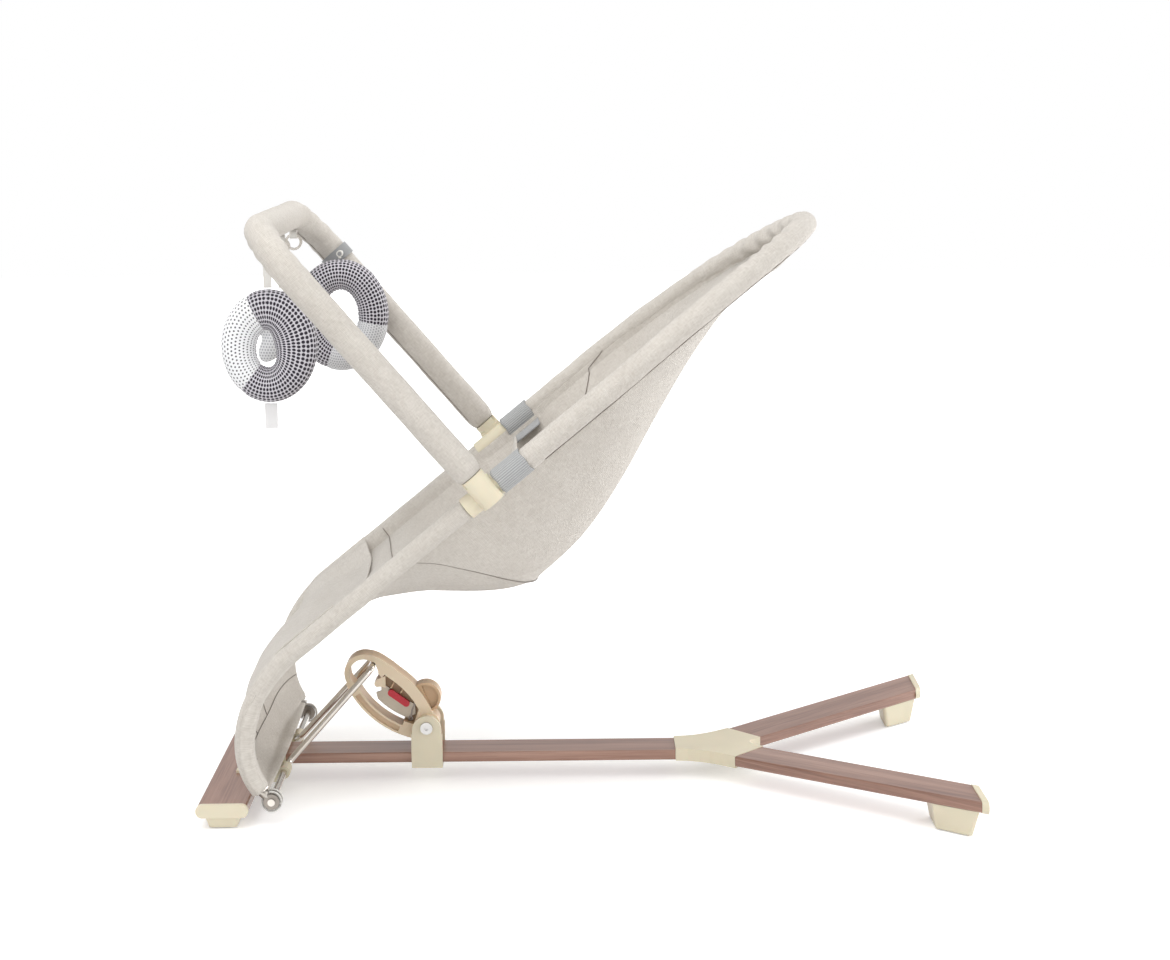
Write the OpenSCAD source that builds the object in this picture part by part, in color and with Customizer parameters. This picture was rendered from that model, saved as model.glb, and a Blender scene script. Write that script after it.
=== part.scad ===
// Baby bouncer seat: a fabric seat on a bent steel frame, over a forked wooden base.
// +X runs from the foot end to the head end, +Y across the seat, +Z up, and the floor is z = 0.

/* [Base] */
// Length of the base, from the front bar to the rear caps
base_length = 784; // [740:2:840]
// Length of the front bar across the base, with its end caps
front_bar_length = 382; // [340:2:420]
// Width of every wooden board
board_width = 50; // [46:1:54]
// Thickness of every wooden board
board_thickness = 11; // [10:0.5:13]
// Height of the front bar's underside above the floor
front_bar_height = 14; // [12:0.5:16]
// Height of the spine's underside above the floor
spine_height = 20; // [19:0.5:24]
// Distance from the middle of the base to where the legs' centre lines meet
fork_offset = 132; // [110:2:150]
// Angle of each rear leg to the spine, seen from above
leg_angle = 41; // [37:1:44]
// Upward slope of the rear legs
leg_slope = 1.6; // [0.5:0.1:2.5]
// Radius of the boards' long edges
board_edge = 2; // [1:0.5:3]
// Thickness of the end caps
cap_thickness = 5; // [4:0.5:7]
// How far the end caps stand proud of the board all round
cap_lip = 1.4; // [1:0.2:2.4]
// Thickness of the rubber pads under the feet
pad_thickness = 1.5; // [1:0.5:3]

/* [Rod frame] */
// Diameter of the spring rod
rod_d = 7; // [6:0.5:8]
// Distance between the sloping rods at the cross bar, centre to centre
rod_gap = 60; // [58:1:64]
// Distance between the sloping rods at the pivot axis, centre to centre
rod_foot_gap = 84; // [76:1:90]
// Length of a sloping rod, from the pivot axis to the cross bar
rod_length = 133.8; // [132:0.2:135]
// Slope of the sloping rods in the most upright position
rod_angle = 47.7; // [47:0.1:48.2]
// Inside bend radius of the spring rod
rod_bend = 6; // [5:1:9]
// Distance from the front edge of the base to the pivot axis
pivot_setback = 75; // [72:1:80]
// Height of the pivot axis above the floor
pivot_height = 25; // [23:0.5:28]

/* [Lever] */
// Distance from the pivot axis to the lever bolt along the spine
bolt_distance = 148; // [147:0.5:149]
// Height of the lever bolt above the floor
bolt_height = 59.5; // [59:0.5:60.5]
// Diameter of the lever bolt
bolt_d = 8; // [6:0.5:9]
// Width of the lever across Y
lever_width = 26; // [22:1:32]
// How far the lever turns for each degree that the seat reclines
lever_ratio = 2.4; // [2.3:0.05:2.45]
// Thickness of the lever's web
lever_web = 4; // [3:0.5:6]
// Thickness of the notched plate
plate_thickness = 3; // [2:0.5:4]
// Length of the red lock slider
slider_length = 27; // [24:1:28]
// Length of the bracket along the spine
bracket_length = 33; // [30:1:38]
// Thickness of the bracket's ears and floor
bracket_wall = 4.6; // [4:0.2:5.2]
// Height of the top of the bracket's ears above the floor
bracket_top = 72; // [70:0.5:76]

/* [Seat] */
// Slope of the seat rails in the most upright position
seat_angle = 39.3; // [38:0.1:40.5]
// Height of the top of the J bend above the pivot axis
bend_rise = 154.5; // [145:0.5:165]
// Distance from the pivot axis to the top of the J bend along X
bend_reach = 25; // [20:1:32]
// Distance between the seat rails, centre to centre
rail_gap = 366; // [346:2:386]
// Distance between the rail ends at the spring rod, centre to centre
toe_gap = 344; // [324:2:352]
// Diameter of the rail tube
rail_d = 16; // [14:0.5:18]
// Wall of the rail and toy bar tubes
tube_wall = 1.2; // [1:0.1:2]
// Distance along the rail from the J bend to the socket's lower end
socket_start = 228; // [215:1:240]
// Length of the socket along the rail
socket_length = 62; // [58:1:70]
// Wall of the socket round the rail
socket_wall = 3.5; // [3:0.25:4]
// Length of the straight rail above the J bend
rail_straight = 406; // [390:2:420]
// Distance along the rail from the J bend to the tip of the head bow
bow_reach = 668; // [650:2:690]
// How far the head bow dips behind the line of the rails
bow_dip = 15; // [0:1:25]
// Depth of the hammock below the rails, at its deepest
hammock_depth = 120; // [110:1:136]
// Thickness of the cover's cloth solids
cloth = 4; // [3:0.5:5]
// Thickness of the padded sleeve on the head bow
bow_padding = 4; // [3:0.25:4.5]
// Thickness of the cloth sleeves on the lower rails
sleeve = 1.4; // [1:0.1:2]
// Width of the webbing straps
strap_width = 36; // [30:1:38]

/* [Toy bar] */
// Distance between the toy bar's arms, centre to centre
arm_gap = 388; // [380:1:392]
// Length of the arms, from the sleeve's lower end to the cross piece
arm_length = 316; // [300:2:330]
// Lean of the arms towards the foot end, from square to the rails
arm_lean = 1.4; // [0:0.2:3]
// Diameter of the toy bar's tube
arm_tube_d = 22; // [20:0.5:23]
// Diameter over the toy bar's padded sleeve
arm_sleeve_d = 31; // [29:0.5:33]
// Radius of the toy bar's corners
arm_corner = 60; // [52:1:66]

/* [Toys] */
// Outer width of the plush rings
ring_width = 100; // [90:1:104]
// Outer height of the plush rings
ring_height = 117; // [105:1:120]
// Thickness of the plush rings
ring_tube = 36; // [32:1:38]
// Distance from the cross piece to the middle of the near ring
ring_drop = 120; // [118:1:130]
// Distance from the cross piece to the middle of the star
star_drop = 116; // [108:1:124]
// Radius of the star's points
star_radius = 44; // [38:1:48]
// Thickness of the star
star_thickness = 30; // [24:1:34]
// Place of the near ring across the seat
near_ring_y = -92; // [-110:1:-80]
// Place of the star across the seat
star_y = 32; // [10:1:44]
// Distance along the far arm, from its foot, to the loop that holds the far ring
far_loop = 250; // [240:2:256]

/* [Hidden] */

fit = 0.05;          // running clearance of a pin in its bore, on the radius
seat_gap = 0.3;      // clearance between a soft piece and what carries it
strap_t = 1.6;       // thickness of the webbing
snug = 0.15;         // clearance between a board and the moulding round it
rod_sides = 12;      // sides of the swept tubes
wood = [0.47, 0.31, 0.24];
cream = [0.88, 0.84, 0.75];
nickel = [0.72, 0.70, 0.67];
linen = [0.85, 0.83, 0.79];
webbing = [0.64, 0.66, 0.68];

front_x = -base_length / 2;
rear_x = base_length / 2;
board_half = board_width / 2;
rear_cap_thickness = cap_thickness + 1;
fork_x = fork_offset;
pivot = [front_x + pivot_setback, 0, pivot_height];
rod_r = rod_d / 2;
journal_r = rod_r + 0.25;
bolt = [pivot[0] + bolt_distance, 0, bolt_height];
bolt_r = bolt_d / 2;
spine_top = spine_height + board_thickness;
spine_start = front_x + board_width + 2 * cap_lip + 4;
spine_end = fork_x - 35;
leg_start = 57;
leg_rise = 1;
leg_end = (rear_x - rear_cap_thickness - fork_x) / cos(leg_angle);
cap_w = board_width + 2 * cap_lip;
cap_t = board_thickness + 2 * cap_lip;
front_bar_x = front_x + cap_lip + board_half;
rail_r = rail_d / 2;
rail_half = rail_gap / 2;
toe_half = toe_gap / 2;
bend_top = [pivot[0] + bend_reach, pivot[2] + bend_rise];
socket_end = socket_start + socket_length;
socket_r = rail_r + socket_wall;
bow_sleeve_r = rail_r + bow_padding;
lower_sleeve_r = rail_r + seat_gap + sleeve;
arm_half = arm_gap / 2;
arm_r = arm_tube_d / 2;
arm_sleeve_r = arm_sleeve_d / 2;
arm_station = socket_start + 26;
arm_foot = 22.5;
plug_r = arm_r - 2;
strap_start = arm_station + arm_r + 4;
strap_r = bow_sleeve_r + seat_gap + 0.2 + strap_t;

// ---------- Helpers ----------

function unit(v) = v / norm(v);
function mix(a, b, t) = a + (b - a) * t;
function bezier(p, t) =
    pow(1 - t, 3) * p[0] + 3 * pow(1 - t, 2) * t * p[1] + 3 * (1 - t) * t * t * p[2] + pow(t, 3) * p[3];
function arc(centre, r, a, b, steps) =
    [for (i = [0:steps]) centre + r * [cos(mix(a, b, i / steps)), sin(mix(a, b, i / steps))]];
function flip_y(p) = [p[0], -p[1], p[2]];

// Place on a seat rail: s along the rail from the J bend, n square to it, y across the seat
function seat(s, y, n) = [
    bend_top[0] + s * cos(seat_angle) - n * sin(seat_angle),
    y,
    bend_top[1] + s * sin(seat_angle) + n * cos(seat_angle)
];

// Centre line of one lower rail, from the rod tip round the J bend up to the socket
toe_handle = 55;
bend_handle = 71;
function j_point(t) = bezier([
    [pivot[0], toe_half, pivot[2]],
    [pivot[0] - 0.78 * toe_handle, mix(toe_half, rail_half, 0.33), pivot[2] + 0.636 * toe_handle],
    [bend_top[0] - bend_handle * cos(seat_angle), rail_half, bend_top[1] - bend_handle * sin(seat_angle)],
    [bend_top[0], rail_half, bend_top[1]]
], t);
toe_cut = 0.09;
function j_path(steps) = [for (i = [0:steps]) j_point(mix(toe_cut, 1, i / steps))];

// Half width of the head bow and its dip, as a curve from the straight rail to the tip
bow_p = [
    [rail_straight, rail_half],
    [mix(rail_straight, bow_reach, 0.38), 0.92 * rail_half],
    [mix(rail_straight, bow_reach, 0.95), 0.574 * rail_half],
    [bow_reach, 0]
];
function dip(s) = -bow_dip * pow(max(0, (s - rail_straight) / (bow_reach - rail_straight)), 2.4);
function bow_point(t) = let (q = bezier(bow_p, t)) seat(q[0], q[1], dip(q[0]));
function bow_half(steps) = [for (i = [0:steps]) bow_point(i / steps)];
// Rail half width at s, found by stepping along the bow's curve
function bow_t(s, lo = 0, hi = 1, depth = 14) =
    depth == 0 ? (lo + hi) / 2
    : bezier(bow_p, (lo + hi) / 2)[0] < s ? bow_t(s, (lo + hi) / 2, hi, depth - 1)
    : bow_t(s, lo, (lo + hi) / 2, depth - 1);
function rail_y(s) = s <= rail_straight ? rail_half : bezier(bow_p, bow_t(s))[1];

// Rings of a tube along a path; side is a direction that the path never runs along
function tangent(path, i) =
    unit(path[min(i + 1, len(path) - 1)] - path[max(i - 1, 0)]);
function ring_points(path, i, r, side, sides) =
    let (t = tangent(path, i), u = unit(cross(t, side)), v = cross(t, u))
    [for (k = [0:sides - 1]) path[i] + r * (cos(360 * k / sides) * u + sin(360 * k / sides) * v)];

// Solid swept tube with flat ends
module rod(path, r, side, sides = rod_sides) {
    last = len(path) - 1;
    points = [for (i = [0:last]) each ring_points(path, i, r, side, sides)];
    walls = [for (i = [0:last - 1], k = [0:sides - 1])
        let (a = i * sides + k, b = i * sides + (k + 1) % sides)
        [b, a, a + sides, b + sides]];
    polyhedron(points, concat(
        [[for (k = [0:sides - 1]) k]],
        walls,
        [[for (k = [sides - 1:-1:0]) last * sides + k]]), convexity = 8);
}

// Hollow swept tube with flat ends
module pipe(path, r, inner, side, sides = rod_sides) {
    last = len(path) - 1;
    span = (last + 1) * sides;
    points = concat(
        [for (i = [0:last]) each ring_points(path, i, r, side, sides)],
        [for (i = [0:last]) each ring_points(path, i, inner, side, sides)]);
    faces = concat(
        [for (i = [0:last - 1], k = [0:sides - 1])
            let (a = i * sides + k, b = i * sides + (k + 1) % sides) [b, a, a + sides, b + sides]],
        [for (i = [0:last - 1], k = [0:sides - 1])
            let (a = span + i * sides + k, b = span + i * sides + (k + 1) % sides)
            [a, b, b + sides, a + sides]],
        [for (k = [0:sides - 1]) let (n = (k + 1) % sides) [k, n, span + n, span + k]],
        [for (k = [0:sides - 1]) let (n = (k + 1) % sides, e = last * sides)
            [e + n, e + k, span + e + k, span + e + n]]);
    polyhedron(points, faces, convexity = 8);
}

// Closed sheet between two grids of points, rows by columns, outer first
module sheet(outer, inner) {
    rows = len(outer);
    cols = len(outer[0]);
    size = rows * cols;
    points = concat([for (row = outer) each row], [for (row = inner) each row]);
    function at(r, c) = r * cols + c;
    skin = [for (r = [0:rows - 2], c = [0:cols - 2])
        each [[at(r, c), at(r, c + 1), at(r + 1, c + 1)], [at(r, c), at(r + 1, c + 1), at(r + 1, c)]]];
    lining = [for (f = skin) [f[2] + size, f[1] + size, f[0] + size]];
    ends = [for (c = [0:cols - 2]) each [
        [at(0, c + 1), at(0, c), at(0, c) + size, at(0, c + 1) + size],
        [at(rows - 1, c), at(rows - 1, c + 1), at(rows - 1, c + 1) + size, at(rows - 1, c) + size]]];
    sides = [for (r = [0:rows - 2]) each [
        [at(r, 0), at(r + 1, 0), at(r + 1, 0) + size, at(r, 0) + size],
        [at(r + 1, cols - 1), at(r, cols - 1), at(r, cols - 1) + size, at(r + 1, cols - 1) + size]]];
    polyhedron(points, concat(skin, lining, ends, sides), convexity = 10);
}

// Rectangle with round corners, centred
module round_rect(w, h, r) {
    square([w - 2 * r, h], center = true);
    square([w, h - 2 * r], center = true);
    for (x = [-1, 1], y = [-1, 1])
        translate([x * (w / 2 - r), y * (h / 2 - r)]) circle(r, $fn = 24);
}

// Board along +X from the origin, its underside at z = 0
module board(length) {
    translate([0, 0, board_thickness / 2]) rotate([90, 0, 90])
        linear_extrude(length) round_rect(board_width, board_thickness, board_edge);
}

// Straight cylinder along Y between two values of y
module y_cylinder(r, y0, y1, sides = 48) {
    translate([0, y0, 0]) rotate([-90, 0, 0]) cylinder(r = r, h = y1 - y0, $fn = sides);
}

// Profile drawn in X and Z, given a thickness along Y
module y_plate(y0, y1) {
    translate([0, y1, 0]) rotate([90, 0, 0]) linear_extrude(y1 - y0) children();
}

// Frame of a rear leg: +X along the leg from the fork, z = 0 on its underside
module leg_frame(side) {
    translate([fork_x, 0, spine_height + leg_rise]) rotate([0, 0, side * leg_angle])
        translate([leg_start, 0, 0]) rotate([0, -leg_slope, 0]) translate([-leg_start, 0, 0]) children();
}

// Frame of the seat rail at s, on the side given: +X along the rail, +Z square to it
module rail_frame(s, side, y = rail_half) {
    translate(seat(s, side * y, 0)) rotate([0, -seat_angle, 0]) children();
}

// ---------- Base ----------

module front_bar() {
    color(wood) difference() {
        translate([front_bar_x, -front_bar_length / 2 + cap_thickness, front_bar_height])
            rotate([0, 0, 90]) board(front_bar_length - 2 * cap_thickness);
    }
}

tenon_length = 18;
tenon_width = 24;
tenon_thickness = 4;
module tenon(length, grow = 0) {
    translate([0, -tenon_width / 2 - grow, board_thickness / 2 - tenon_thickness / 2 - grow])
        cube([length + grow, tenon_width + 2 * grow, tenon_thickness + 2 * grow]);
}

module spine_bar() {
    color(wood) difference() {
        translate([spine_start, 0, spine_height]) board(spine_end - spine_start);
        translate([spine_end + snug, 0, spine_height]) mirror([1, 0, 0]) tenon(tenon_length + snug, snug);
        bracket_screw_holes();
    }
}

module rear_leg(side) {
    color(wood) difference() {
        leg_frame(side) translate([leg_start, 0, 0]) board(leg_end - leg_start + board_width);
        translate([rear_x - rear_cap_thickness, -base_length, -base_length])
            cube([base_length, 2 * base_length, 2 * base_length]);
        leg_frame(side) translate([leg_start - snug, 0, 0]) tenon(tenon_length + snug, snug);
    }
}
module rear_leg_left() { rear_leg(1); }
module rear_leg_right() { rear_leg(-1); }

// Plan of the fork joint: a neck that flares into the two legs
leg_axis = [cos(leg_angle), sin(leg_angle)];
leg_side = [-sin(leg_angle), cos(leg_angle)];
leg_outer = [fork_x, 0] + (leg_start - snug) * leg_axis + board_half * leg_side;
leg_inner = [fork_x, 0] + (leg_start - snug) * leg_axis - board_half * leg_side;
flare = [for (i = [0:6]) bezier([
    [spine_end + snug, board_half], [mix(spine_end, leg_outer[0], 0.45), board_half],
    leg_outer - 18 * leg_axis, leg_outer], i / 6)];
crotch = [for (i = [1:5]) bezier([
    leg_inner, leg_inner - 14 * leg_axis, [leg_inner[0] - 13, 3], [leg_inner[0] - 13, 0]], i / 5)];
fork_side = concat(flare, [leg_inner], crotch);
fork_plan = concat(fork_side, [for (i = [len(fork_side) - 2:-1:0]) [fork_side[i][0], -fork_side[i][1]]]);

module fork_joint() {
    color(cream) {
        difference() {
            translate([0, 0, spine_height - 0.8])
                linear_extrude(board_thickness + leg_rise + 1.4) polygon(fork_plan);
            translate([fork_x, 0, spine_height - 2]) cylinder(r = 9, h = 5, $fn = 48);
            for (side = [-1, 1]) leg_frame(side) translate([leg_start - snug, -board_half, -board_width])
                cube([board_width, board_width, 2 * board_width]);
            fork_screw_holes();
        }
        translate([fork_x, 0, spine_height - 2.6]) difference() {
            cylinder(r = 8.5, h = 6, $fn = 48);
            translate([0, 0, -1]) cylinder(r = 5.5, h = 4, $fn = 48);
        }
        translate([spine_end + snug, 0, spine_height]) mirror([1, 0, 0]) tenon(tenon_length);
        for (side = [-1, 1]) leg_frame(side) translate([leg_start - 1, 0, 0]) tenon(tenon_length);
    }
}

// Moulding between the front bar and the spine, with two bearings for the spring rod
joint_wall = 3;
joint_grip = 26;
pocket_half = board_half + 2.6;
joint_end = pivot[0] - rod_d / 2;
bearing_in = rod_foot_gap / 2 + rod_bend + rod_d;
bearing_out = bearing_in + 20;
bearing_r = journal_r + 3;
module front_joint() {
    bar_rear = front_bar_x + board_half;
    color(cream) difference() {
        union() {
            translate([bar_rear - joint_grip, -bearing_out, front_bar_height - joint_wall])
                cube([joint_grip + 3.5, 2 * bearing_out, board_thickness + 2 * joint_wall]);
            translate([bar_rear, -pocket_half, front_bar_height - joint_wall])
                cube([joint_end - bar_rear, 2 * pocket_half, spine_top + joint_wall - front_bar_height + joint_wall]);
            for (side = [-1, 1]) {
                translate([bar_rear, side > 0 ? bearing_in : -bearing_out, front_bar_height + 1])
                    cube([pivot[0] - bar_rear, 20, pivot_height - front_bar_height - 1]);
                translate([pivot[0], 0, pivot[2]])
                    y_cylinder(bearing_r, side > 0 ? bearing_in : -bearing_out,
                               side > 0 ? bearing_out : -bearing_in);
            }
        }
        translate([bar_rear - joint_grip - 1, -base_length, front_bar_height - snug])
            cube([joint_grip + 1 + snug, 2 * base_length, board_thickness + 2 * snug]);
        translate([spine_start - snug, -board_half - snug, spine_height - snug])
            cube([base_length, board_width + 2 * snug, board_thickness + 2 * snug]);
        translate([pivot[0], 0, pivot[2]]) y_cylinder(journal_r + fit, -base_length, -board_half - 3);
        translate([pivot[0], 0, pivot[2]]) y_cylinder(journal_r + fit, board_half + 3, base_length);
        joint_screw_holes();
    }
}

module cap_outline() {
    round_rect(cap_w, cap_t, cap_t / 2 - 0.3);
}

module front_cap(side) {
    inner = front_bar_length / 2 - cap_thickness;
    color(cream) translate([front_bar_x, 0, front_bar_height + board_thickness / 2])
        y_plate(side > 0 ? inner : -inner - cap_thickness, side > 0 ? inner + cap_thickness : -inner)
            cap_outline();
}
module front_cap_left() { front_cap(1); }
module front_cap_right() { front_cap(-1); }

module rear_cap(side) {
    color(cream) intersection() {
        leg_frame(side) translate([leg_start + 60, 0, board_thickness / 2]) rotate([90, 0, 90])
            linear_extrude(leg_end + board_width) cap_outline();
        translate([rear_x - rear_cap_thickness, -base_length, 0])
            cube([rear_cap_thickness, 2 * base_length, base_length]);
    }
}
module rear_cap_left() { rear_cap(1); }
module rear_cap_right() { rear_cap(-1); }

// Foot between two outlines of four corners, wider at the top, with soft corners
foot_corner = 3;
module soft_outline(corners) {
    for (p = corners) translate([p[0], p[1], 0]) cylinder(r = foot_corner, h = 0.4, $fn = 20);
}
module foot(bottom, top, height) {
    hull() {
        soft_outline(bottom);
        translate([0, 0, height - 0.4]) soft_outline(top);
    }
}
function shrink(corners, by) =
    let (m = (corners[0] + corners[1] + corners[2] + corners[3]) / 4)
    [for (p = corners) m + (p - m) * by];

// Front feet: rectangles under the ends of the front bar
front_foot_w = 35;
front_foot_l = 40;
front_foot_y = front_bar_length / 2 - 22;
foot_taper = 0.78;
function front_foot_top(side) =
    let (w = front_foot_w / 2 - foot_corner, l = front_foot_l / 2 - foot_corner)
    [for (q = [[1, 1], [-1, 1], [-1, -1], [1, -1]]) [front_bar_x + q[0] * w, side * front_foot_y + q[1] * l]];
module front_foot(side) {
    top = front_foot_top(side);
    inner = front_bar_length / 2 - cap_thickness - snug;
    color(cream) difference() {
        translate([0, 0, pad_thickness]) foot(shrink(top, foot_taper), top, front_bar_height - pad_thickness);
        translate([front_bar_x - board_width, side > 0 ? inner : -inner - board_width,
                   front_bar_height - cap_lip - snug]) cube([2 * board_width, board_width, board_width]);
    }
}
module front_foot_left() { front_foot(1); }
module front_foot_right() { front_foot(-1); }

// Rear feet: as wide as the leg, with ends square to the base like the leg's own end
rear_foot_length = 43;
rear_foot_end = rear_x - rear_cap_thickness - 0.5;
function on_leg(x, off, side) = [x, side * ((x - fork_x) * tan(leg_angle) + off / cos(leg_angle))];
function rear_foot_top(side) =
    let (front = rear_foot_end - rear_foot_length + foot_corner, back = rear_foot_end - foot_corner,
         half = board_half - 0.5 - foot_corner)
    [on_leg(back, half, side), on_leg(front, half, side), on_leg(front, -half, side), on_leg(back, -half, side)];
module rear_foot(side) {
    top = rear_foot_top(side);
    color(cream) difference() {
        translate([0, 0, pad_thickness]) foot(shrink(top, foot_taper - 0.06), top, spine_height + 10);
        leg_frame(side) translate([0, -board_width, 0]) cube([leg_end + board_width, 2 * board_width, 60]);
    }
}
module rear_foot_left() { rear_foot(1); }
module rear_foot_right() { rear_foot(-1); }

module foot_pads() {
    color([0.25, 0.25, 0.25]) for (side = [-1, 1], top = [front_foot_top(side), rear_foot_top(side)])
        linear_extrude(pad_thickness) polygon(shrink(top, foot_taper - 0.08));
}

// Screws, all driven from below
screw_r = 2;
screw_head_r = 4;
screw_head = 2.4;
joint_screws = [for (y = [-1, 1]) [front_bar_x + board_half - 12, y * (bearing_in + 6), front_bar_height - joint_wall]];
bracket_screws = [for (x = [-1, 1]) [bolt[0] + x * 9, 0, spine_height - snug - bracket_wall]];
module screw(at, length, grow = 0) {
    translate(at) {
        translate([0, 0, -0.01]) cylinder(r = screw_head_r + grow, h = screw_head + 0.01, $fn = 32);
        cylinder(r = screw_r + grow, h = length + grow, $fn = 32);
    }
}
module bracket_screw_holes() { for (p = bracket_screws) screw(p, 10, fit); }
module joint_screw_holes() { for (p = joint_screws) screw(p, 2.9, fit); }
module fork_screw_holes() {
    for (side = [-1, 1]) translate([fork_x - 18, side * 12, spine_height - 0.8]) screw([0, 0, 0], 8, fit);
}
module base_screws() {
    color(nickel) {
        for (p = bracket_screws) screw(p, 10);
        for (p = joint_screws) screw(p, 2.9);
        for (side = [-1, 1]) screw([fork_x - 18, side * 12, spine_height - 0.8], 8);
    }
}

// ---------- Lever bracket and bolt ----------

ear_in = board_half + snug;
ear_out = ear_in + bracket_wall;
ear_r = bracket_length / 2 - 1;
bracket_floor = spine_height - snug - bracket_wall;
module ear_profile() {
    translate([bolt[0], bracket_top - ear_r]) circle(ear_r, $fn = 64);
    translate([bolt[0] - bracket_length / 2, bracket_floor])
        square([bracket_length, bracket_top - ear_r - bracket_floor - 4]);
    translate([bolt[0] - ear_r, bracket_floor]) square([2 * ear_r, bracket_top - ear_r - bracket_floor]);
}
module lever_bracket() {
    color(cream) difference() {
        union() {
            y_plate(ear_in, ear_out) ear_profile();
            y_plate(-ear_out, -ear_in) ear_profile();
            translate([bolt[0] - bracket_length / 2, -ear_out, bracket_floor])
                cube([bracket_length, 2 * ear_out, bracket_wall]);
        }
        translate(bolt) y_cylinder(bolt_r + fit, -base_length, base_length);
        bracket_screw_holes();
    }
}

head_r = 6.5;
nut_r = 6;
module lever_bolt() {
    color(nickel) translate(bolt) {
        y_cylinder(bolt_r, -ear_out - 0.5, ear_out + 5);
        difference() {
            y_cylinder(head_r, -ear_out - 3.4, -ear_out);
            y_cylinder(2.2, -ear_out - 3.5, -ear_out - 1.8, 6);
        }
        y_cylinder(head_r + 1.5, ear_out, ear_out + 1);
        y_cylinder(nut_r, ear_out + 1, ear_out + 5, 6);
    }
}

// ---------- Spring rod ----------

// Bent rod, swept from journal to journal; the journals turn in the front bar and carry the rails
rod_tip = toe_half + 9;
splay = atan((rod_foot_gap - rod_gap) / 2 / rod_length);
rod_bend_centre = rod_bend + rod_r;
bend_trim = rod_bend_centre * tan((90 - splay) / 2);
journal_start = rod_foot_gap / 2 + bend_trim;
rod_half = concat(
    [[0, journal_start + 4]],
    arc([rod_bend_centre, journal_start], rod_bend_centre, 180, 270 - splay, 7),
    arc([rod_length - rod_bend_centre, rod_gap / 2 - bend_trim], rod_bend_centre, 90 - splay, 0, 7));
module spring_rod() {
    last = len(rod_half) - 1;
    color(nickel) translate(pivot) {
        rotate([0, -rod_angle, 0]) rod(concat(
            [for (p = rod_half) [p[0], p[1], 0]],
            [for (i = [last:-1:0]) [rod_half[i][0], -rod_half[i][1], 0]]), rod_r, [0, 0, 1], 16);
        y_cylinder(journal_r, journal_start, rod_tip);
        y_cylinder(journal_r, -rod_tip, -journal_start);
    }
}

// ---------- Lever ----------

// Outline in X and Z from the bolt: round head, curved lower arm, hub and top arm
arm_centre = [10, 85.4];
arm_outer_r = 104.6;
arm_inner_r = 94.3;
head_centre = [-67, 56];
lever_head_r = 20.8;
hub_r = 13;
thumb_centre = [-2, 27];
thumb_r = 16.5;
thumb_near = -6;
recline = 10;
// Where the cross bar lies, as the lever sees it, when the seat is reclined by an angle
function bar_seen(a) =
    let (x = rod_length * cos(rod_angle - a) - bolt_distance,
         z = pivot_height + rod_length * sin(rod_angle - a) - bolt_height, b = lever_ratio * a)
    [x * cos(b) - z * sin(b), x * sin(b) + z * cos(b)];
bar_steps = [for (i = [-1:9]) bar_seen(recline * i / 8)];
// Outline of the way that the cross bar takes, with clearance all round
function bar_edge(out) = [for (i = [1:len(bar_steps) - 2])
    let (t = unit(bar_steps[i + 1] - bar_steps[i - 1])) bar_steps[i] + out * [-t[1], t[0]]];
function reversed(list) = [for (i = [len(list) - 1:-1:0]) list[i]];
module bar_way(clear) {
    polygon(concat(bar_edge(clear), reversed(bar_edge(-clear))));
    translate(bar_seen(0)) circle(clear, $fn = 32);
    translate(bar_seen(recline)) circle(clear, $fn = 32);
}

module lever_outline() {
    polygon(concat(
        arc(arm_centre, arm_outer_r, 203, 256, 16),
        [[0, 0]],
        [for (i = [0:8]) bezier([[6, 12], [-8, 45], [-25, 52], [-36, 62.5]], i / 8)],
        [for (i = [1:5]) bezier([[-36, 62.5], [-45, 68.5], [-52, 76], [-65, 76.7]], i / 5)]));
    translate(head_centre) circle(lever_head_r, $fn = 64);
    circle(hub_r, $fn = 64);
}

// Opening that the cross bar moves in: the eye of the head and the crescent under the plate
bar_clear = rod_r + 0.7;
plate_edge_r = 87.3;
module lever_window() {
    translate(head_centre) circle(15.4, $fn = 64);
    bar_way(bar_clear);
    difference() {
        polygon(concat(
            arc(arm_centre, arm_inner_r, 209, 247, 12),
            arc(arm_centre, plate_edge_r, 247, 222, 8),
            [[-50, 30], [-47, 50], bar_seen(0)]));
        lever_hook();
    }
}
// Hook at the top of the plate, moulded with the lever
module lever_hook() {
    translate([-51.5, 45.6]) rotate(8) round_rect(9, 8.6, 3);
    polygon([[-51, 41.5], [-44, 40.5], [-44, 53], [-51, 50]]);
}

// Recess that leaves only the web behind the plate
module lever_recess() {
    difference() {
        polygon(concat(
            [[-56, 30], [-49, 50]],
            [for (i = [1:8]) bezier([[-48, 57], [-41, 50], [-23, 43], [-9, 16]], i / 8)],
            arc(arm_centre, plate_edge_r + 2, 254, 222, 8)));
        lever_hook();
    }
}

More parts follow.
